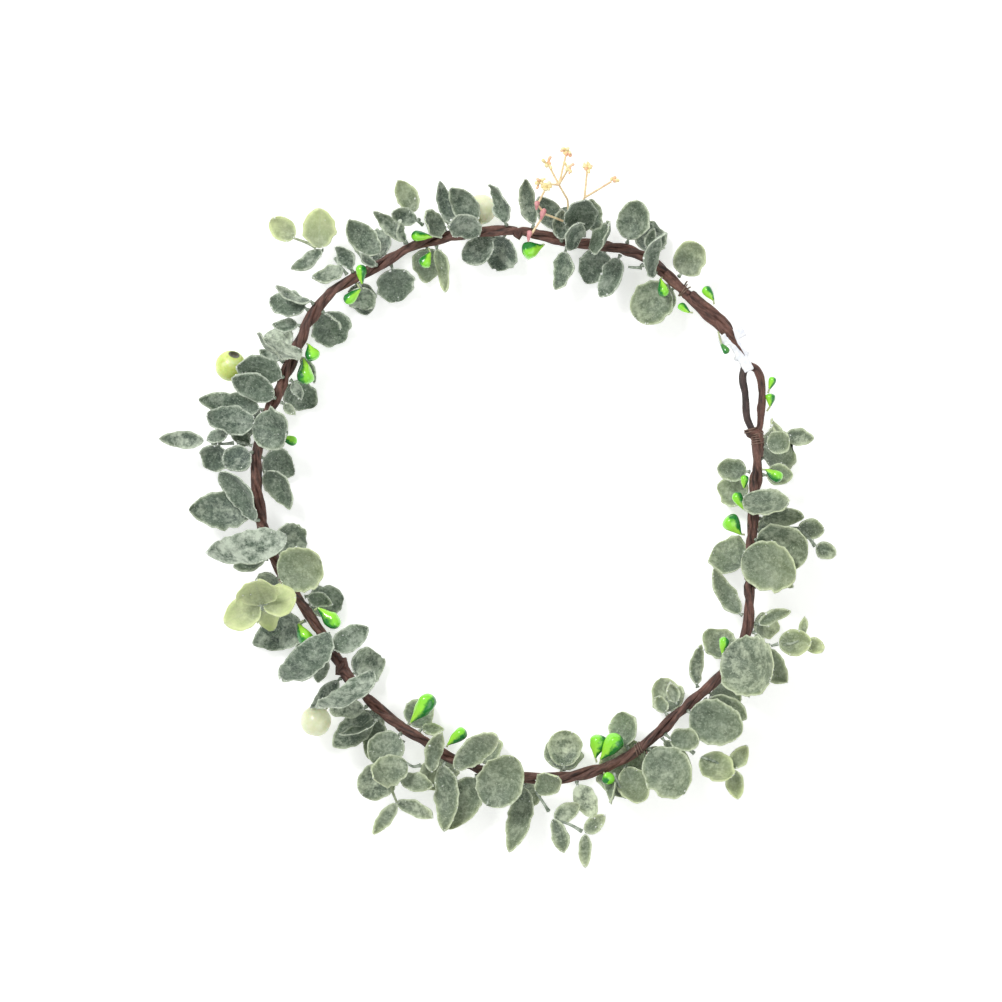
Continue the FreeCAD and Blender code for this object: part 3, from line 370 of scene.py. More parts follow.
def leaf_green(look, blotches, width, chance):
    """The leaf's green, darker in its cupped middle as painted shade.  A high chance makes a leaf darker, a
    low one lighter.
    """
    green = look.tinted((54, 71, 59), (98, 115, 97), blotches, 0.32, 0.68)
    green = look.tinted(green, (66, 82, 74), chance, 0.35, 1, 0, 0.75)
    green = look.tinted(green, (106, 124, 98), chance, 0.3, 0, 0, 0.3)
    # lighter towards the rim, so that the cupped middle is darker: painted shade
    green = look.tinted(green, (120, 138, 117), width, 0.35, 1.0, 0, 0.35)
    mottle = look.noise(1.0 * MM, 4, 0.7)
    green = look.tinted(green, (152, 167, 150), mottle, 0.48, 0.66, 0, 0.45)
    return look.tinted(green, (38, 52, 44), mottle, 0.47, 0.3, 0, 0.6)


def leaf_veins(look, along, width):
    """A midrib, and fainter veins that slant towards it."""
    midrib = look.ramp(width, 0.02, 0.1, 0.16, 0)
    slant = look.math("MULTIPLY_ADD", width, -VEIN_SLANT, along)
    wave = look.math("SINE", look.times(slant, VEIN_TURNS))
    side_veins = look.times(look.ramp(wave, 0.7, 1.0, 0, 0.08), look.ramp(width, 0.95, 0.6))
    return look.math("MAXIMUM", midrib, side_veins)


def leaf_frost(look, grain, rim, chance, pale):
    """White powder in patches, specks, and an uneven crust along the rim."""
    powder = look.math("MULTIPLY_ADD", pale, 0.22, look.noise(4.0 * MM, 6, 0.66))
    dusting = look.math("ADD", look.ramp(chance, 0, 0.8, 0.12, 0.5), pale)
    dusted = look.times(look.ramp(powder, 0.48, 0.7), dusting)
    patchy_rim = look.math("MULTIPLY_ADD", look.noise(1.3 * MM, 4, 0.65), 1.7, rim)
    crust = look.times(look.ramp(patchy_rim, 1.38, 1.95), look.ramp(grain, 0.3, 0.6, 0.5, 0.95))
    specks = look.ramp(grain, 0.64, 0.7, 0, 0.75)
    return look.math("MAXIMUM", look.math("MAXIMUM", dusted, specks), crust)


def leaf_material():
    """Frosted eucalyptus leaf; fresh growth has a yellow-green tint that starts at the rim."""
    look = Look("frosted_leaf")
    along, across, chance = look.attribute("blade")
    rim, youth, pale = look.attribute("coat")
    width = look.math("ABSOLUTE", across)
    blotches = look.noise(4.5 * MM, 4)
    grain = look.noise(0.45 * MM, 2)
    green = leaf_green(look, blotches, width, chance)
    fresh = look.tinted((204, 221, 152), (236, 243, 188), blotches, 0.3, 0.7)
    spread = look.math("MULTIPLY_ADD", rim, 0.9, look.times(youth, 1.1))
    green = look.mixed(look.times(youth, spread), green, fresh)
    veins = leaf_veins(look, along, width)
    green = look.mixed(veins, green, (160, 176, 150))
    white = leaf_frost(look, grain, rim, chance, pale)
    tint = look.tinted((220, 230, 219), (226, 238, 160), youth, 0, 0.8, 0.1, 0.8)
    height = look.math("MULTIPLY_ADD", white, 0.9, grain)
    height = look.math("MULTIPLY_ADD", veins, -2.5, height)
    return look.finish(
        Base_Color=look.mixed(white, green, tint),
        Roughness=look.ramp(white, 0, 1, 0.5, 0.8),
        Sheen_Weight=0.12,
        Normal=look.bump(height, 0.14 * MM, 0.9),
    )


def frost_material():
    """White grains on the leaves."""
    look = Look("frost_grains")
    return look.finish(
        Base_Color=look.mixed(look.noise(2 * MM), (226, 234, 226), (252, 253, 250)),
        Roughness=0.55,
        Normal=look.bump(look.noise(0.15 * MM), 0.05 * MM),
    )


def stalk_material():
    """Grey-green stalks with a white dusting."""
    look = Look("stalk")
    _, youth, _ = look.attribute("coat")
    streaks = look.noise(1.2 * MM, 4)
    base = look.tinted((96, 110, 92), (196, 206, 190), streaks, 0.35, 0.7)
    return look.finish(
        Base_Color=look.mixed(youth, base, (198, 208, 150)),
        Roughness=0.65,
        Normal=look.bump(look.noise(0.3 * MM), 0.1 * MM),
    )


def tape_material(name, dark, middle, light):
    """Brown paper tape wound round wire and creased like bark, with painted shade deep in its creases and
    painted highlight on its raised streaks.
    """
    look = Look(name)
    along, across, _ = look.attribute("blade")
    crease_shade, _, _ = look.attribute("coat")
    fibres = look.node("ShaderNodeCombineXYZ", {0: look.times(along, 0.25), 1: across})
    creases = look.noise(0.35, 4, 0.65, fibres.outputs[0])  # blade counts millimetres here
    blotches = look.noise(5 * MM, 3)
    # light on the raised streaks is painted highlight
    base = look.tinted(middle, light, creases, 0.35, 0.68)
    base = look.tinted(base, middle, blotches, 0.4, 0.65, 0, 0.6)
    height = look.math("MULTIPLY_ADD", look.noise(0.3 * MM), 0.4, creases)
    return look.finish(
        # dark is painted shade, as deep as a point lies in a crease
        Base_Color=look.mixed(crease_shade, base, dark),
        Roughness=look.ramp(creases, 0.3, 0.7, 0.72, 0.5),
        Normal=look.bump(height, 0.25 * MM, 0.9),
    )


def binding_material():
    """Thin lacquered iron wire, worn bright in places."""
    look = Look("binding_wire")
    wear = look.noise(0.8 * MM, 4)
    return look.finish(
        Base_Color=look.mixed(wear, (84, 66, 58), (150, 124, 110)),
        Metallic=0.5,
        Roughness=look.ramp(wear, 0.3, 0.7, 0.3, 0.5),
        Normal=look.bump(wear, 0.05 * MM),
    )


def bud_material():
    """Glossy lacquered bud: lime green that turns deep green down one side, or all over when its chance
    is 1."""
    look = Look("lacquered_bud")
    along, across, chance = look.attribute("blade")
    flow = look.math("MULTIPLY_ADD", look.noise(2.2 * MM, 2), 0.5, across)
    lime = look.tinted((176, 242, 70), (134, 230, 52), along, 0.1, 0.9)
    lime = look.tinted(lime, (44, 128, 44), chance, 0.9, 0.95, 0, 0.9)
    base = look.tinted(lime, (22, 128, 44), flow, 1.02, 1.18)
    return look.finish(
        Base_Color=look.tinted(base, (96, 146, 46), along, 0.16, 0.0, 0, 0.5),
        Roughness=0.22,
        Coat_Weight=0.6,
        Coat_Roughness=0.08,
        Normal=look.bump(look.noise(0.7 * MM), 0.08 * MM, 0.5),
    )


def berry_material(name, skin, shade, calyx):
    """Pearly berry with a mottled skin and pale patches of painted sheen, darkening to a brown calyx."""
    look = Look(name)
    along, _, _ = look.attribute("blade")
    mottle = look.noise(2.2 * MM, 5, 0.65)
    painted_sheen = look.noise(3.4 * MM, 2)
    base = look.tinted(skin, shade, mottle, 0.4, 0.75)
    # pale cream patches of painted pearly sheen
    base = look.tinted(base, (244, 250, 206), painted_sheen, 0.5, 0.75, 0, 0.6)
    return look.finish(
        Base_Color=look.tinted(base, calyx, along, 0.2, 0.9),
        Roughness=look.ramp(mottle, 0.3, 0.7, 0.25, 0.42),
        Coat_Weight=0.35,
        Coat_Roughness=0.15,
        Subsurface_Weight=0.15,
        Subsurface_Scale=1 * MM,
        Normal=look.bump(look.noise(0.5 * MM, 3), 0.06 * MM),
    )


def spray_material(name, first, second, roughness=0.5):
    """A matt material in patches of two colours."""
    look = Look(name)
    return look.finish(
        Base_Color=look.tinted(first, second, look.noise(1.5 * MM, 4), 0.35, 0.65),
        Roughness=roughness,
        Normal=look.bump(look.noise(0.3 * MM), 0.06 * MM),
    )


THREADS = 2 * math.pi / (0.45 * MM)  # turns the ribbon's thread pitch into radians of a wave


def satin_material():
    """White satin ribbon with a fine weave, greyed in patches by painted shade that stands for the shade of
    its folds.
    """
    look = Look("white_satin")
    warp, weft = (look.math("SINE", look.times(place, THREADS)) for place in look.split(look.place)[:2])
    folds = look.noise(2 * MM, 3)
    return look.finish(
        # bluish grey where the noise is low is painted shade of folds; the ribbon itself is white
        Base_Color=look.tinted((232, 236, 244), (252, 252, 252), folds, 0.3, 0.7),
        Roughness=0.35,
        Sheen_Weight=0.4,
        Normal=look.bump(look.times(warp, weft), 0.02 * MM, 0.4),
    )


LEAF = leaf_material()
FROST = frost_material()
STALK = stalk_material()
# each tape's first colour is painted crease shade and its last painted highlight; the middle one is its own
# brown
TAPE = tape_material("paper_tape", (40, 27, 24), (92, 62, 53), (138, 98, 84))
DARK_TAPE = tape_material("dark_paper_tape", (28, 22, 22), (62, 49, 47), (96, 76, 70))
BINDING = binding_material()
BUD = bud_material()
GREEN_BERRY = berry_material("green_berry", (214, 230, 128), (184, 206, 92), (62, 60, 34))
CREAM_BERRY = berry_material("cream_berry", (236, 240, 206), (222, 228, 178), (150, 140, 96))
SPRAY_STEM = spray_material("spray_stem", (248, 230, 184), (222, 188, 150), 0.55)
BLOSSOM = spray_material("cream_blossom", (252, 242, 200), (242, 220, 150))
PEACH = spray_material("peach_blossom", (250, 214, 176), (240, 186, 150))
PINK_BUD = spray_material("pink_bud", (232, 172, 170), (194, 118, 124))
SATIN = satin_material()


# ---- the wire ring
RING = ["upper_end", "upper_mid", "upper_side", "front", "lower_side", "lower_mid", "lower_end"]
SLEEVE_LOW, SLEEVE_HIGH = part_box("front_paper_tape")
TAPE_RADIUS = (SLEEVE_HIGH.z - SLEEVE_LOW.z) / 2
WIRE_HEIGHT = (SLEEVE_HIGH.z + SLEEVE_LOW.z) / 2
BEYOND_RING = 0.3  # from the middle, farther out than any wire
RING_GAP_BEARING = 25  # smaller bearings belong to the end of the lower arm
PROBE_STEP = 0.5  # degrees between places where a wire is felt
STATION = 0.4 * MM  # between rings of points along a wire
NECK = 1.4 * MM  # that the bundle runs on past its last sleeve

STRANDS = 4  # taped wires in the bundle
STRAND_RADIUS = 0.43 * TAPE_RADIUS
STRAND_REACH = 0.45 * TAPE_RADIUS  # from the bundle's middle to a strand's middle
STRAND_SIDES = 18
BUNDLE_PITCH = 34 * MM  # in which the bundle twists once
WANDER_LENGTH = 30 * MM  # over which that twist runs ahead or lags
WANDER = 0.7  # radians of it
LOOSE_LENGTH = 17 * MM  # over which a strand moves out and in
LOOSE = 0.22  # part of its reach that it moves
CREASE = 0.13 * MM  # height of the tape's creases
CREASE_LENGTHS = (0.8 * MM, 2.2 * MM)  # size of the fine and the coarse ones
CREASE_STRETCH = 0.2  # creases are this much denser along the wire than round it
KNOB_LENGTH = 9 * MM  # over which a taped wire gets thicker and thinner
KNOB = 0.13  # part of its radius


def bearing_of(point):
    """Bearing of a point, counted on past 360 for the end of the lower arm."""
    found = math.degrees(math.atan2(point[1], point[0])) % 360
    return found + 360 if found < RING_GAP_BEARING else found


def felt_radii(node_name, bearing):
    """Distance from the middle of the crown to the near and the far skin of a node, or None."""
    ray = Vector((math.cos(math.radians(bearing)), math.sin(math.radians(bearing)), 0))
    level = Vector((0, 0, WIRE_HEIGHT))
    near = nodes[node_name].ray_cast(level, ray)
    if not near[0]:
        return None
    far = nodes[node_name].ray_cast(ray * BEYOND_RING + level, -ray)
    return near[1].xy.length, far[1].xy.length


def probe_ring():
    """Bearing and radius of the middle of the tape sleeves, felt from inside and from outside."""
    bearings, radii = [], []
    for bearing in np.arange(RING_GAP_BEARING, RING_GAP_BEARING + 360, PROBE_STEP):
        for body in RING:
            felt = felt_radii(body + "_paper_tape", bearing)
            if felt:
                bearings.append(bearing)
                radii.append(sum(felt) / 2)
                break
    return np.array(bearings), np.array(radii)


ring_bearings, ring_radii = probe_ring()
FIRST_BEARING, LAST_BEARING = ring_bearings[0], ring_bearings[-1]
DEGREES_PER_METRE = 1 / (math.radians(1) * float(ring_radii.mean()))


def polar(bearings, radii, above):
    """Points at bearings and radii round the middle of the crown, above the wire's own height."""
    angles = np.radians(np.asarray(bearings, float))
    heights = WIRE_HEIGHT + np.asarray(above, float) + angles * 0
    return np.stack([radii * np.cos(angles), radii * np.sin(angles), heights], axis=-1)


def ring_line(bearings, outwards=0.0, above=0.0):
    return polar(bearings, np.interp(bearings, ring_bearings, ring_radii) + outwards, above)


def outside_ring(point):
    return math.hypot(point[0], point[1]) - float(np.interp(bearing_of(point), ring_bearings, ring_radii))


def joint_between(a, b):
    return next(joint for joint in frame["joints"] if {joint["parent"], joint["child"]} == {a, b})


bends = [bearing_of(joint_between(a, b)["pos_m"]) for a, b in zip(RING, RING[1:])]


def creased_radii(lengths, radius, seed):
    """Radius of a taped wire at each station and side, and how much painted shade it gets there for lying
    deep in a crease.
    """
    angles = circle_angles(STRAND_SIDES)
    shape = (len(lengths), STRAND_SIDES)
    skin = np.stack([
        np.broadcast_to(np.cos(angles) * radius, shape),
        np.broadcast_to(np.sin(angles) * radius, shape),
        np.broadcast_to(lengths[:, None] * CREASE_STRETCH, shape),
    ], axis=-1).reshape(-1, 3)
    fine = Ripple(seed, CREASE_LENGTHS[0], 30)(skin).reshape(shape)
    coarse = Ripple(seed + 1, CREASE_LENGTHS[1], 20)(skin).reshape(shape)
    knobs = Ripple(seed + 2, KNOB_LENGTH, 8)(on_a_line(lengths))[:, None]
    relief = 0.55 * fine + 0.6 * coarse
    # the second value is painted crease shade, more where the relief is low
    return radius * (1 + KNOB * knobs) + CREASE * relief, np.clip(0.3 - 0.55 * relief, 0, 1)


def add_strand(piece, path, radius, material, seed, lengths=None, taper=None, directions=None):
    """One taped wire along a path; taper scales its radius at each station."""
    if lengths is None:
        steps = np.linalg.norm(np.diff(path, axis=0), axis=1)
        lengths = np.concatenate([[0], np.cumsum(steps)])
    radii, depth = creased_radii(lengths, radius, seed)
    if taper is not None:
        radii = radii * taper[:, None]
    points, faces = tube(path, radii, STRAND_SIDES, directions)
    around = np.tile(circle_angles(STRAND_SIDES) * radius / MM, len(path))
    zero = around * 0
    blade = np.stack([np.repeat(lengths / MM, STRAND_SIDES), around, zero], axis=1)
    # the first value of coat is the painted crease shade
    piece.add(material, points, faces, blade, np.stack([depth.ravel(), zero, zero], axis=1))


def bundle_offset(number, lengths):
    """How far outwards and up a strand of the bundle lies from its middle, at each length along it."""
    wander = Ripple(40 + number, WANDER_LENGTH, 6)(on_a_line(lengths))
    loose = Ripple(60 + number, LOOSE_LENGTH, 6)(on_a_line(lengths))
    turn = 2 * np.pi * (lengths / BUNDLE_PITCH + number / STRANDS) + WANDER * wander
    reach = STRAND_REACH * (1 + LOOSE * loose)
    return reach * np.cos(turn), reach * np.sin(turn)


def ring_directions(bearings):
    """Outward and upward directions square to the wire at each bearing."""
    ahead = ring_line(bearings + 0.3) - ring_line(bearings - 0.3)
    ahead /= np.linalg.norm(ahead, axis=1)[:, None]
    up = np.broadcast_to(UPWARD, ahead.shape)
    return np.cross(ahead, up), up


def build_ring():
    """Taped wires from one neck to the other, cut in the middle of each rigid length.  A piece that
    crosses a bend rides on neither body: its place is baked into its points."""
    neck = NECK * DEGREES_PER_METRE
    middles = [(a + b) / 2 for a, b in zip([FIRST_BEARING] + bends, bends + [LAST_BEARING])]
    edges = [FIRST_BEARING - neck] + middles + [LAST_BEARING + neck]
    for index, (low, high) in enumerate(zip(edges, edges[1:])):
        bearings = np.linspace(low, high, int(round((high - low) / STATION / DEGREES_PER_METRE)) + 1)
        lengths = (bearings - edges[0]) / DEGREES_PER_METRE
        side, up = ring_directions(bearings)
        piece = Piece("taped_wire_%d" % (index + 1))
        for number in range(STRANDS):
            outwards, above = bundle_offset(number, lengths)
            path = ring_line(bearings) + side * outwards[:, None] + up * above[:, None]
            add_strand(piece, path, STRAND_RADIUS, TAPE, 10 + 5 * number, lengths, None, (side, up))
        around = RING[max(index - 1, 0):index + 1]
        made = piece.finish(*[body + part for body in around for part in ("_paper_tape", "_core_wires")])
        if len(around) == 2:
            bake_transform(made)
        else:
            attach(made, around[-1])


build_ring()


# ---- the end eyes and their bindings
EYE_STEP = 0.25  # degrees between rings of points along an eye's wires
FAN_START = 6.0  # degrees before the neck where the wires of an eye leave the bundle
FAN_LENGTH = 7.0  # degrees in which they spread to the legs
POINT_LENGTH = 9.0  # degrees in which the flattened eye narrows to its point
UPPER_STRANDS = 6
UPPER_ENDS = (-3.2, -1.0)  # degrees that they end past the eye
OVER_TIE = 2.1  # mm that the inner ones rise to lie on the tie
SWAY_LENGTH, SWAY = 13 * MM, 0.25 * MM  # of the uneven wires, sideways
LIFT_LENGTH, LIFT = 11 * MM, 0.45  # and up, in mm


def probe_eye(node_name):
    """Bearings across an eye from its low to its high end, the radii of the middles of its inner and
    outer leg, and the radius of its rod."""
    low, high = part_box(node_name)
    rod = (high.z - low.z) / 2
    found = []
    for bearing in np.arange(0, 360, PROBE_STEP):
        felt = felt_radii(node_name, bearing)
        if felt:
            found.append((bearing, felt[0] + rod, felt[1] - rod))
    bearings, inner, outer = np.array(found).T
    meeting = (inner + outer) / 2
    return bearings, np.minimum(inner, meeting), np.maximum(outer, meeting), rod


def build_upper_eye():
    """The upper eye pressed flat: wires spread side by side over both legs like a strip of bark, and
    drawn together to a point at the tie."""
    bearings, inner, outer, rod = probe_eye("upper_wire_eye")
    neck, tip = FIRST_BEARING, bearings[0]
    piece = Piece("upper_eye_taped")
    draw = np.random.default_rng(31)
    for number in range(UPPER_STRANDS):
        part = number / (UPPER_STRANDS - 1)
        last = tip + draw.uniform(*UPPER_ENDS)
        steps = np.arange(neck + FAN_START, last, -EYE_STEP)
        fanned = 0.3 + 0.7 * smooth_step(neck + FAN_START - steps, 0, FAN_LENGTH)
        closing = 0.12 + 0.88 * smooth_step(steps - tip, -2.5, POINT_LENGTH)
        near, far = (np.interp(steps, bearings, leg) for leg in (inner, outer))
        leg, middle = near * (1 - part) + far * part, (near + far) / 2
        line = np.where(steps > neck, np.interp(steps, ring_bearings, ring_radii), middle)
        radii = line + (leg - middle) * fanned * closing
        slow = on_a_line(steps / DEGREES_PER_METRE)
        sway = Ripple(200 + number, SWAY_LENGTH, 6)(slow)
        lift = Ripple(220 + number, LIFT_LENGTH, 6)(slow)
        edge = number in (0, UPPER_STRANDS - 1)
        rise = 0 if edge else 0.25 + OVER_TIE * (1 - smooth_step(steps - tip, 2.5, 8.0))
        path = polar(steps, radii + SWAY * sway, (0.1 + LIFT * lift + rise) * MM)
        taper = smooth_step(steps - last, -0.8, 5.0)
        add_strand(piece, path, rod * (0.68 if edge else 0.56), TAPE, 230 + 5 * number, None, taper)
    piece.stand_in("upper_wire_eye")


def build_lower_eye():
    """The open lower eye: a dark inner leg and a brown outer leg that meet under the tie."""
    bearings, inner, outer, rod = probe_eye("lower_wire_eye")
    bearings = bearings + 360
    neck, tip = LAST_BEARING, bearings[-1]
    steps = np.arange(neck - FAN_START, tip, EYE_STEP)
    leave = smooth_step(steps, neck - 2, neck + 1.5)
    meet = 1 - smooth_step(steps, tip - 2.5, tip + 1.5)
    bundle = np.interp(steps, ring_bearings, ring_radii)
    narrow = (np.interp(steps, bearings, inner) + np.interp(steps, bearings, outer)) / 2
    piece = Piece("lower_eye_taped")
    for seed, leg, material in ((47, inner, DARK_TAPE), (53, outer, TAPE)):
        along_leg = narrow + (np.interp(steps, bearings, leg) - narrow) * meet
        out = math.copysign(0.5, float((leg - (inner + outer) / 2).mean())) * MM
        radii = (bundle + out) * (1 - leave) + along_leg * leave
        add_strand(piece, polar(steps, radii, 0), rod * 0.95, material, seed)
    piece.stand_in("lower_wire_eye")


build_upper_eye()
build_lower_eye()

COIL_WIRE = 0.27 * MM
COIL_PITCH = 0.95 * MM
COIL_REACH = 0.86 * TAPE_RADIUS  # from the bundle's middle to the wire's
TURN_STATIONS = 26


def build_coil(node_name, piece_name, turns, wide, seed):
    """Thin wire wound unevenly round the bundle, with one free end; wide is the coil's width over its
    height."""
    low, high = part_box(node_name)
    draw = np.random.default_rng(seed)
    middle = bearing_of((low + high) / 2)
    turn = np.arange(turns * TURN_STATIONS + 1) / TURN_STATIONS
    uneven = Ripple(seed, 1.1 * MM, 6)(on_a_line(turn * MM))
    bearings = middle + (turn - turns / 2 + 0.3 * uneven) * COIL_PITCH * DEGREES_PER_METRE
    reach = COIL_REACH + COIL_WIRE * 0.5 * abs(uneven)
    path = ring_line(bearings, wide * reach * np.cos(turn * 2 * np.pi), reach * np.sin(turn * 2 * np.pi))
    outwards = unit(path[-1] * [1, 1, 0])
    free_end = path[-1] + outwards * draw.uniform(0.8, 1.6) * MM + UPWARD * 0.7 * MM
    piece = Piece(piece_name)
    piece.add(BINDING, *tube(even_path([*path, free_end], 0.25 * MM), COIL_WIRE, 8))
    piece.stand_in(node_name)


build_coil("upper_neck_binding", "upper_neck_coil", 2, 1.15, 3)
build_coil("lower_neck_binding", "lower_neck_coil", 7, 1.1, 4)
build_coil("lower_mid_binding", "lower_mid_coil", 3, 1.0, 5)


# ---- leaves
ALONG, ACROSS = 22, 17  # steps along a leaf, points across it
LEAF_ENDS = 0.004  # part of its length left off at each end, where it has no width
CUP = 12.7 / 14  # hollow's radius over the leaf's length, as the CAD leaves have it
LEAF_THICKNESS = 0.55 * MM
LEAST_LEAF = 2 * MM  # width from which a solid of a sprig is a leaf and not a stalk
BROADEN = 1.09  # a leaf's size over its CAD solid's
RIM_WIDTH = 0.9 * MM  # of the crust along a leaf's edge
BEAD_WIDTH = 0.45 * MM  # of the thick part of that crust
ROUND, OVAL, POINTED = (0.47, 0.50), (0.50, 0.58), (0.55, 0.72)  # how a leaf's base and tip close
NOTCH_LENGTH, NOTCH = 3.2 * MM, 0.065  # of the ragged outline, as part of the half width
WAVE_LENGTH, WAVE = 6.5 * MM, 0.75 * MM  # of the wavy rim
LUMP_LENGTH, LUMP = 2.2 * MM, 0.35  # of the bead, as part of the leaf's thickness
GRIT_LENGTH, GRIT = 1.6 * MM, 0.035 * MM  # of the upper side
GROOVE_WIDTH, GROOVE = 0.35 * MM, 0.10 * MM  # along the midrib, above
RIB_WIDTH, RIB = 0.4 * MM, 0.32 * MM  # along the midrib, below
FOLDS = (0.02, 0.3)  # slopes of a leaf's halves towards each other
TWISTS = (-0.35, 0.35)  # slopes across its tip
CURLS = (-0.1, 0.22)  # how its tip curls, over its length
FLOOR_CLEARANCE = 0.15 * MM  # no leaf reaches lower than this
YOUTH = {  # how yellow-green the farthest leaves of a node are
    "front_rosette": 0.95,
    "upper_tip_sprig": 0.85,
    "right_tip_sprig": 0.7,
    "corner_tip_sprig": 0.65,
    "bottom_tip_sprig": 0.35,
    "left_tip_sprig": 0.15,
}
YOUNG_REACH = (12 * MM, 26 * MM)  # outside the ring: where that begins and is full
OLIVE_ARM = (225, 250)  # bearings between which leaves get more yellow-green rims
PALE_BEARINGS = (148, 190, 228, 283)  # where leaves are frosted nearly white
FRESH_BEARINGS = (54.5, 110.5, 198.5, 291.5)  # where a leaf has a yellow-green rim
TONE_REACH = 2.5  # degrees to either side of them


def find_blade(centre, axes, local, low, high, skin):
    """Foot, directions and size of a leaf; its foot is the end nearer to the stalks' skin."""
    ends = [centre + axes[0] * (low[0] + 0.2 * MM), centre + axes[0] * (high[0] - 0.2 * MM)]
    rim = local[abs(local[:, 0]) > 0.85 * (high[0] - low[0]) / 2][:, 2].mean()
    core = local[abs(local[:, 0]) < 0.15 * (high[0] - low[0]) / 2]
    core = core[abs(core[:, 1]) < 0.25 * (high[1] - low[1])][:, 2].mean()
    normal = axes[2] * (1 if rim > core else -1)
    ends = [end + normal * abs(rim - core) * 0.9 for end in ends]
    gaps = [np.linalg.norm(skin - end, axis=1).min() for end in ends]
    foot, tip = ends if gaps[0] < gaps[1] else ends[::-1]
    forward = unit(tip - foot)
    normal = unit(normal - forward * (normal @ forward))
    return {
        "foot": foot,
        "forward": forward,
        "normal": normal,
        "side": np.cross(normal, forward),
        "length": float(high[0] - low[0]),
        "half_width": float(high[1] - low[1]) / 2,
    }


def find_leaves(node_name):
    """The leaves of a sprig, and the start and end of each stalk.  A stalk that ends at a leaf is drawn
    on to the leaf's foot."""
    blades, rods = [], []
    for points, triangles in loose_parts(node_name):
        solid = measured(points, triangles)
        is_rod = solid[4][1] - solid[3][1] < LEAST_LEAF
        (rods if is_rod else blades).append((points, solid))
    skin = np.concatenate([points for points, _ in rods])
    leaves = [find_blade(*solid, skin) for _, solid in blades]
    lines = []
    for _, (centre, axes, _, low, high) in rods:
        gaps = [np.linalg.norm(leaf["foot"] - centre) for leaf in leaves]
        nearest = int(np.argmin(gaps))
        if gaps[nearest] < (high[0] - low[0]) / 2 + 0.45 * MM:
            foot = leaves[nearest]["foot"]
            lines.append((2 * centre - foot, foot))
        else:
            lines.append(rod_ends(centre, axes, low, high))
    return leaves, lines


def nearness(bearing, places):
    """1 at one of the bearings, falling off smoothly beside it."""
    away = min(abs(bearing - place) for place in places)
    return math.exp(-(away / TONE_REACH) ** 2)


def leaf_tones(leaf, node_name, draw):
    """How yellow-green and how whitened a leaf is."""
    tip = leaf["foot"] + leaf["forward"] * leaf["length"]
    far = 1.0 if node_name == "front_rosette" else float(smooth_step(outside_ring(tip), *YOUNG_REACH))
    olive = float(smooth_step(bearing_of(tip), *OLIVE_ARM))
    ordinary = 0.06 + 0.27 * olive + 0.15 * draw.uniform() ** 3
    youth = max(YOUTH.get(node_name, 0) * far, ordinary, 0.5 * nearness(bearing_of(tip), FRESH_BEARINGS))
    pale = 0.5 * nearness(bearing_of(tip), PALE_BEARINGS) * (1 - youth) + 0.2 * draw.uniform() ** 2
    return youth, pale


def leaf_outline(length, half, u, v, seed):
    """Half width at each part u of a leaf's length, and how the ragged rim scales it on v's side."""
    slim = half * 2 / length
    base, tip = ROUND if slim > 0.85 else OVAL if slim > 0.7 else POINTED
    widest = base / (base + tip)
    width = half * (u / widest) ** base * ((1 - u) / (1 - widest)) ** tip
    notch = Ripple(seed, NOTCH_LENGTH, 10)
    left, right = (1 + NOTCH * notch(on_a_line(u[:, 0] * length) + shift * MM)[:, None] for shift in (0, 7))
    return width, np.where(v < 0, left, right)


def leaf_bowl(length, x, y, depth):
    """Height of the hollow that a leaf lies in."""
    radius = CUP * length
    return depth - np.sqrt(np.maximum(radius ** 2 - (x - length / 2) ** 2 - y ** 2, 0))


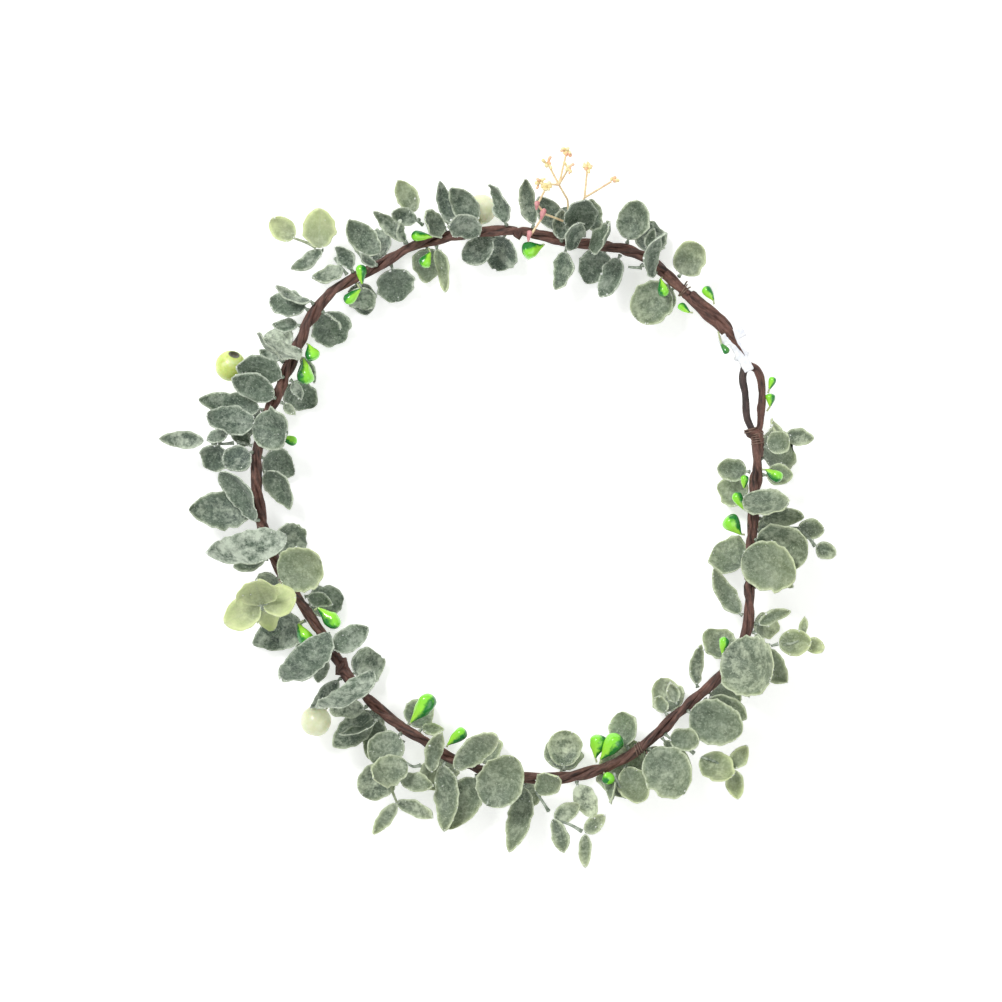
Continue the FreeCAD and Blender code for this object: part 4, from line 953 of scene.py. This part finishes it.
def leaf_sheet(leaf, draw, youth, pale):
    """Points, faces and shading values of one cupped leaf, and how near its rim each point is."""
    length, half = leaf["length"] * BROADEN, leaf["half_width"] * BROADEN
    u = (1 - np.cos(np.pi * np.arange(ALONG + 1) / ALONG)) / 2
    u = np.clip(u, LEAF_ENDS, 1 - LEAF_ENDS)[:, None]
    v = np.sin(np.pi / 2 * np.linspace(-1, 1, ACROSS))[None, :]
    seed = int(draw.integers(1 << 30))
    width, scale = leaf_outline(length, half, u, v, seed)
    x = u * length + v * 0
    y = v * width * scale
    flat = np.stack([x.ravel(), y.ravel(), x.ravel() * 0], axis=1)
    wave, grit, lumps = (
        Ripple(seed + number, size, waves)(flat).reshape(x.shape)
        for number, size, waves in ((1, WAVE_LENGTH, 10), (2, GRIT_LENGTH, 16), (3, LUMP_LENGTH, 12)))
    fold, twist, curl = (draw.uniform(*limits) for limits in (FOLDS, TWISTS, CURLS))
    depth = length * math.sqrt(CUP ** 2 - 0.25)
    z = leaf_bowl(length, x, y, depth)
    z = z + fold * (abs(y) - half * 0.3) * u * (1 - u) * 4
    z = z + twist * y * smooth_step(u, 0.1, 1) + curl * length * np.maximum(u - 0.45, 0) ** 2
    z = z + WAVE * wave * v ** 2 * smooth_step(u, 0, 0.3)
    z = z - GROOVE * np.exp(-(y / GROOVE_WIDTH) ** 2) * (1 - u)
    middle = np.stack([x, y, z], axis=-1)
    out = np.array([length / 2, 0, depth]) - middle
    out /= np.linalg.norm(out, axis=-1)[..., None]
    edge = (1 - abs(v)) * width
    bead = np.exp(-(edge / BEAD_WIDTH) ** 2)
    thick = LEAF_THICKNESS * (0.75 - 0.25 * v ** 2) * (1 + bead * (0.45 + LUMP * lumps))
    thick = thick * smooth_step(u, -0.02, 0.02) * smooth_step(1 - u, -0.02, 0.03)
    rib = RIB * np.exp(-(y / RIB_WIDTH) ** 2) * (1 - u) ** 0.7
    top = middle + out * (thick / 2 + GRIT * grit)[..., None]
    bottom = middle - out * (thick / 2 + rib)[..., None]
    local = np.concatenate([top, bottom[:, ::-1]], axis=1)
    points = leaf["foot"] + local.reshape(-1, 3) @ np.stack([leaf["forward"], leaf["side"], leaf["normal"]])
    points[:, 2] = np.maximum(points[:, 2], FLOOR_CLEARANCE)
    crusted = np.exp(-(edge / RIM_WIDTH) ** 2)
    rim = np.concatenate([crusted, crusted[:, ::-1]], axis=1)
    rows = np.broadcast_to(u, rim.shape)
    sides = np.broadcast_to(np.concatenate([v, v[:, ::-1]], axis=1), rim.shape)
    blade = np.stack([rows, sides, np.full(rim.shape, draw.uniform())], axis=-1)
    coat = np.stack([rim, youth * (0.55 + 0.45 * rows), np.full(rim.shape, pale)], axis=-1)
    faces = tube_faces(len(u), 2 * ACROSS)
    return points, faces, blade.reshape(-1, 3), coat.reshape(-1, 3), rim.ravel()


OCTAHEDRON = np.array([(1, 0, 0), (-1, 0, 0), (0, 1, 0), (0, -1, 0), (0, 0, 1), (0, 0, -1)], float)
OCTAHEDRON_FACES = [(0, 2, 4), (2, 1, 4), (1, 3, 4), (3, 0, 4), (2, 0, 5), (1, 2, 5), (3, 1, 5), (0, 3, 5)]


def grain_cluster(spots, sizes, draw):
    """Small eight-sided grains at the spots."""
    points, faces = [], []
    for index, (spot, size) in enumerate(zip(spots, sizes)):
        turn, _ = np.linalg.qr(draw.normal(size=(3, 3)))
        shape = OCTAHEDRON * draw.uniform(0.6, 1.2, 3) * size
        points.append(spot + shape @ turn)
        faces.extend([tuple(corner + 6 * index for corner in face) for face in OCTAHEDRON_FACES])
    return np.concatenate(points), faces


GRAINS = 70  # on each leaf
LEAST_GRAIN = 0.07 * MM
GRAIN_SPREAD = 0.12 * MM  # off the leaf's skin
STALK_RADIUS, STALK_TAPER, STALK_FOOT = 0.62, 0.2, 0.18  # mm
STALK_YOUNG = (17 * MM, 31 * MM)  # outside the ring: where stalks begin and end to turn yellow-green


def build_sprig(node_name, seed):
    """Leaves, their frost and the stalks of one sprig."""
    draw = np.random.default_rng(seed)
    leaves, lines = find_leaves(node_name)
    piece = Piece(node_name + "_foliage")
    for leaf in leaves:
        youth, pale = leaf_tones(leaf, node_name, draw)
        points, faces, blade, coat, rim = leaf_sheet(leaf, draw, youth, pale)
        piece.add(LEAF, points, faces, blade, coat)
        weight = 0.12 + rim
        chosen = draw.choice(len(points), size=GRAINS, p=weight / weight.sum())
        jitter = draw.normal(size=(GRAINS, 3)) * GRAIN_SPREAD
        sizes = LEAST_GRAIN + draw.exponential(LEAST_GRAIN, GRAINS)
        piece.add(FROST, *grain_cluster(points[chosen] + jitter, sizes, draw))
    for start, end in lines:
        add_stalk(piece, start, end, draw)
    piece.stand_in(node_name)


def add_stalk(piece, start, end, draw):
    """A tapering stalk that bows a little, with a swollen foot."""
    length = np.linalg.norm(end - start)
    sag = np.array([*draw.normal(size=2) * 0.04, 0.03]) * length
    path = even_path([start, start + (end - start) * 0.5 + sag, end], 0.6 * MM)
    part = np.linspace(0, 1, len(path))
    radii = (STALK_RADIUS - STALK_TAPER * part + STALK_FOOT * np.exp(-(part / 0.12) ** 2)) * MM
    youth = 0.7 * float(smooth_step(outside_ring(end), *STALK_YOUNG))
    piece.add(STALK, *tube(path, radii, 10), coat=(0, youth, 0))


sprig_nodes = [name for name in sorted(nodes) if "sprig" in name or "rosette" in name]
for number, sprig_node in enumerate(sprig_nodes):
    build_sprig(sprig_node, 100 + number)


# ---- buds
BUD_WIDEST = 0.74  # part of a bud's length from its foot
BUD_STEPS = 26
BUD_STALK = 0.34 * MM  # radius of a bud's wire
TIE_BEARING = 37  # the buds before it, beside the tie, are deep green


def lathe(start, end, profile, sides, ripple=None, wobble=0.0):
    """A turned body from start to end; profile lists (part of the length, radius)."""
    axis = unit(end - start)
    length = np.linalg.norm(end - start)
    across = unit(np.cross(axis, UPWARD) if abs(axis[2]) < 0.95 else np.array([1.0, 0.0, 0.0]))
    up = np.cross(across, axis)
    angles = circle_angles(sides)
    parts, radii = np.array(profile).T
    ring = across * np.cos(angles)[:, None] + up * np.sin(angles)[:, None]
    middle = np.repeat(start + parts[:, None] * axis * length, sides, axis=0)
    out = (ring[None, :, :] * radii[:, None, None]).reshape(-1, 3)
    if ripple is not None:
        out = out * (1 + wobble * ripple(middle + out))[:, None]
    blade = np.stack([
        np.repeat(parts, sides),
        np.tile((np.cos(angles - 0.6) + 1) / 2, len(profile)),
        np.zeros(len(out)),
    ], axis=1)
    return middle + out, tube_faces(len(profile), sides), blade


def bud_profile(radius, foot):
    """A club: a slender foot that swells to its widest place and closes in a round end."""
    parts = (1 - np.cos(np.pi * np.arange(BUD_STEPS + 1) / BUD_STEPS)) / 2
    growing = foot + (radius - foot) * np.sin(np.pi / 2 * np.minimum(parts / BUD_WIDEST, 1)) ** 1.3
    closing = radius * np.sqrt(np.maximum(1 - ((parts - BUD_WIDEST) / (1 - BUD_WIDEST)) ** 2, 0))
    radii = np.where(parts < BUD_WIDEST, growing, closing)
    return list(zip(parts, np.maximum(radii, CLOSED)))


def build_buds(node_name, seed):
    """Lacquered buds and their wires."""
    draw = np.random.default_rng(seed)
    piece = Piece(node_name + "_lacquered")
    for part in loose_parts(node_name):
        centre, axes, local, low, high = measured(*part)
        radius = (high[1] - low[1]) / 2
        ends = rod_ends(centre, axes, low, high)
        if radius < 0.45 * MM:
            piece.add(STALK, *tube(even_path(ends, 0.5 * MM), BUD_STALK, 8), coat=(0, 0.6, 0))
            continue
        widest = local[np.argmax(np.linalg.norm(local[:, 1:], axis=1)), 0]
        foot, tip = ends if widest > (low[0] + high[0]) / 2 else ends[::-1]
        ripple = Ripple(int(draw.integers(1 << 30)), 3.4 * MM, 8)
        body, faces, blade = lathe(foot, tip, bud_profile(radius * 0.97, 0.45 * MM), 28, ripple, 0.06)
        blade[:, 2] = 1 if bearing_of(centre) < TIE_BEARING else 0.9 * draw.uniform()
        piece.add(BUD, body, faces, blade)
    piece.stand_in(node_name)


bud_nodes = [name for name in sorted(nodes) if name.endswith("_buds")]
for number, bud_node in enumerate(bud_nodes):
    build_buds(bud_node, 300 + number)


# ---- berries
BERRY_SIDES = 40
BERRY_STEPS = 30  # rings of points down to the calyx
BERRY_STALK = 0.38 * MM
CALYX_EDGE = 2.0 * MM
CALYX_RADII = (1.8, 1.45, 1.0, 0.5, CLOSED / MM)  # mm, from its edge to its middle
CALYX_DEPTHS = (0.0, 0.15, 0.5, 0.65, 0.55)  # mm, at each of them


def berry_profile(radius):
    """A ball that dips into a calyx at its far end, as (part of its length, radius)."""
    profile = []
    for angle in np.linspace(0, math.pi - math.asin(CALYX_EDGE / radius), BERRY_STEPS):
        profile.append(((1 - math.cos(angle)) / 2, max(radius * math.sin(angle), CLOSED)))
    rim_part = profile[-1][0]
    for calyx_radius, depth in zip(CALYX_RADII, CALYX_DEPTHS):
        profile.append((rim_part - depth * MM / (2 * radius), calyx_radius * MM))
    return profile


def build_berry(node_name, material, seed):
    """A slightly uneven ball with a calyx dimple, on its stalk.  The dimple looks the way that the CAD
    berry's own hollow does."""
    low, high = (np.array(corner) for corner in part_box(node_name))
    centre = (low + high) / 2
    radius = float((high - low).max() / 2)
    points = np.array([vertex.co for vertex in nodes[node_name].data.vertices])
    inside = points[np.linalg.norm(points - centre, axis=1) < radius - 0.4 * MM]
    out = unit(inside.mean(axis=0) - centre) * radius
    profile = berry_profile(radius)
    uneven = Ripple(seed, 6 * MM, 8)
    body, faces, blade = lathe(centre - out, centre + out, profile, BERRY_SIDES, uneven, 0.012)
    browned = (np.arange(len(profile)) - BERRY_STEPS + 2) / 2
    blade[:, 0] = np.repeat(np.clip(browned, 0, 1), BERRY_SIDES)
    piece = Piece(node_name + "_pearl")
    piece.add(material, body, faces, blade)
    piece.stand_in(node_name)
    stalk_name = node_name + "_stalk"
    middle, axes, _, low, high = measured(*loose_parts(stalk_name)[0])
    path = even_path(rod_ends(middle, axes, low, high), 0.5 * MM)
    stalk = Piece(stalk_name + "_wire")
    stalk.add(STALK, *tube(path, BERRY_STALK, 10), coat=(0, 0.5, 0))
    stalk.stand_in(stalk_name)


build_berry("green_berry", GREEN_BERRY, 61)
build_berry("front_berry", CREAM_BERRY, 62)
build_berry("cream_berry", CREAM_BERRY, 63)


# ---- the flower spray and the satin tie
PINK_BUD_PARTS = (0.0, 0.38, 0.6)  # along the spray's lowest branch, from its end


def melted_copy(node_name, piece_name, material, voxel, grow):
    """A piece with a CAD node's shape, its edges melted together and its skin moved out by grow."""
    mesh = nodes[node_name].data.copy()
    item = into_scene(piece_name, mesh)
    mesh.materials.clear()
    mesh.materials.append(material)
    melt = item.modifiers.new("melt", "REMESH")
    melt.mode = "VOXEL"
    melt.voxel_size = voxel
    melt.use_smooth_shade = True
    relax = item.modifiers.new("relax", "SMOOTH")
    relax.factor = 0.5
    relax.iterations = 4
    swell = item.modifiers.new("swell", "DISPLACE")
    swell.strength = grow
    swell.mid_level = 0
    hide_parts(node_name)
    return item


def roughened(item, size, height, texture_name):
    """Adds lumps about size across to a piece."""
    texture = bpy.data.textures.new(texture_name, "CLOUDS")
    texture.noise_scale = size
    lumps = item.modifiers.new("lumps", "DISPLACE")
    lumps.texture = texture
    lumps.texture_coords = "LOCAL"
    lumps.strength = height


def build_spray():
    """Thin branching stems with a small ragged blossom at each end and pink buds down one branch."""
    stems = melted_copy("flower_spray_stems", "spray_branches", SPRAY_STEM, 0.15 * MM, -0.06 * MM)
    roughened(stems, 1.1 * MM, 0.1 * MM, "stem_knots")
    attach(stems, body_of_node["flower_spray_stems"])
    ends = [(points.min(axis=0) + points.max(axis=0)) / 2
            for points, _ in loose_parts("flower_spray_blossoms")]
    ends.sort(key=outside_ring)
    piece = Piece("spray_blossoms")
    draw = np.random.default_rng(77)
    lowest, above = ends[0], ends[1]
    skin = loose_parts("flower_spray_stems")[0][0]
    for part in PINK_BUD_PARTS:
        spot = lowest + (above - lowest) * part
        middle = skin[np.argmin(np.linalg.norm(skin - spot, axis=1))] + draw.normal(size=3) * 0.2 * MM
        add_pink_bud(piece, middle, unit(above - lowest + draw.normal(size=3) * 2 * MM), draw)
    for end in ends[1:]:
        add_blossom(piece, end, draw)
    piece.stand_in("flower_spray_blossoms")


def add_pink_bud(piece, middle, along, draw):
    """A small pink club whose middle is on the branch."""
    half = along * draw.uniform(1.5, 2.1) * MM
    profile = bud_profile(draw.uniform(0.85, 1.1) * MM, 0.3 * MM)
    uneven = Ripple(int(draw.integers(1 << 30)), 1.6 * MM, 8)
    piece.add(PINK_BUD, *lathe(middle - half, middle + half, profile, 14, uneven, 0.12))


def add_blossom(piece, centre, draw):
    """A tiny ragged flower: petals of unequal length round a heart."""
    out = unit(draw.normal(size=3) * 0.35 + UPWARD)
    petals = int(draw.integers(5, 9))
    for petal in range(petals):
        turn = (petal + draw.uniform(-0.25, 0.25)) * 2 * math.pi / petals
        side = unit(np.cross(out, [math.cos(turn), math.sin(turn), 0.2]))
        reach = draw.uniform(1.0, 2.9) * MM
        start = centre - out * 0.4 * MM + draw.normal(size=3) * 0.3 * MM
        end = centre + side * reach + out * draw.uniform(-0.2, 1.0) * MM
        profile = bud_profile(draw.uniform(0.4, 0.75) * MM, 0.2 * MM)
        uneven = Ripple(int(draw.integers(1 << 30)), 1.2 * MM, 8)
        material = PEACH if draw.uniform() < 0.3 else BLOSSOM
        piece.add(material, *lathe(start, end, profile, 10, uneven, 0.15))


def build_tie():
    """The crumpled satin ribbon that ties the eyes together."""
    tie = melted_copy("tie_ribbon", "satin_tie", SATIN, 0.2 * MM, 0.12 * MM)
    roughened(tie, 2.6 * MM, 0.75 * MM, "ribbon_folds")
    roughened(tie, 0.9 * MM, 0.25 * MM, "ribbon_creases")
    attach(tie, body_of_node["tie_ribbon"])


build_spray()
build_tie()


# ---- floor, light and camera
FLOOR_REACH = 8.0
FLOOR_GLOW = 0.45
SKY_GLOW = 0.55
LIGHTS = (  # name, place, size and power in watts
    ("key", (-0.7, 0.8, 1.3), 0.6, 17),
    ("fill", (0.9, -0.6, 1.2), 1.2, 5),
)
VIEW_WIDTH = 350.7 * MM  # seen at the height of the wire
VIEW_CENTRE = (-5.95 * MM, -2.1 * MM)
CAMERA_DISTANCE = 1.6
FARTHEST_SEEN = 50


def build_floor():
    """A white sheet that glows a little, so that shadows on it stay faint."""
    material = Look("paper_floor").finish(
        Base_Color=(0.9, 0.9, 0.9, 1),
        Roughness=0.9,
        Specular_IOR_Level=0.1,
        Emission_Color=(1, 1, 1, 1),
        Emission_Strength=FLOOR_GLOW,
    )
    corners = [(x * FLOOR_REACH, y * FLOOR_REACH, 0) for x, y in ((-1, -1), (1, -1), (1, 1), (-1, 1))]
    mesh = bpy.data.meshes.new("floor")
    mesh.from_pydata(corners, [], [(0, 1, 2, 3)])
    mesh.materials.append(material)
    into_scene("floor", mesh)


def add_area_light(name, place, size, power):
    """A round light that faces the crown."""
    light = bpy.data.lights.new(name, "AREA")
    light.shape = "DISK"
    light.size = size
    light.energy = power
    item = into_scene(name, light)
    item.location = place
    item.rotation_euler = (-Vector(place)).to_track_quat("-Z", "Y").to_euler()


def build_studio():
    world = bpy.data.worlds.new("studio")
    world.use_nodes = True
    sky = world.node_tree.nodes["Background"]
    sky.inputs["Color"].default_value = (1, 1, 1, 1)
    sky.inputs["Strength"].default_value = SKY_GLOW
    bpy.context.scene.world = world
    for light in LIGHTS:
        add_area_light(*light)
    bpy.context.scene.view_settings.view_transform = "Standard"


def build_camera():
    """Straight above the crown, looking down, with the picture's top towards +Y."""
    data = bpy.data.cameras.new("camera")
    data.lens = data.sensor_width * CAMERA_DISTANCE / VIEW_WIDTH
    data.clip_end = FARTHEST_SEEN
    camera = into_scene("camera", data)
    camera.location = (*VIEW_CENTRE, WIRE_HEIGHT + CAMERA_DISTANCE)
    bpy.context.scene.camera = camera


build_floor()
build_studio()
build_camera()
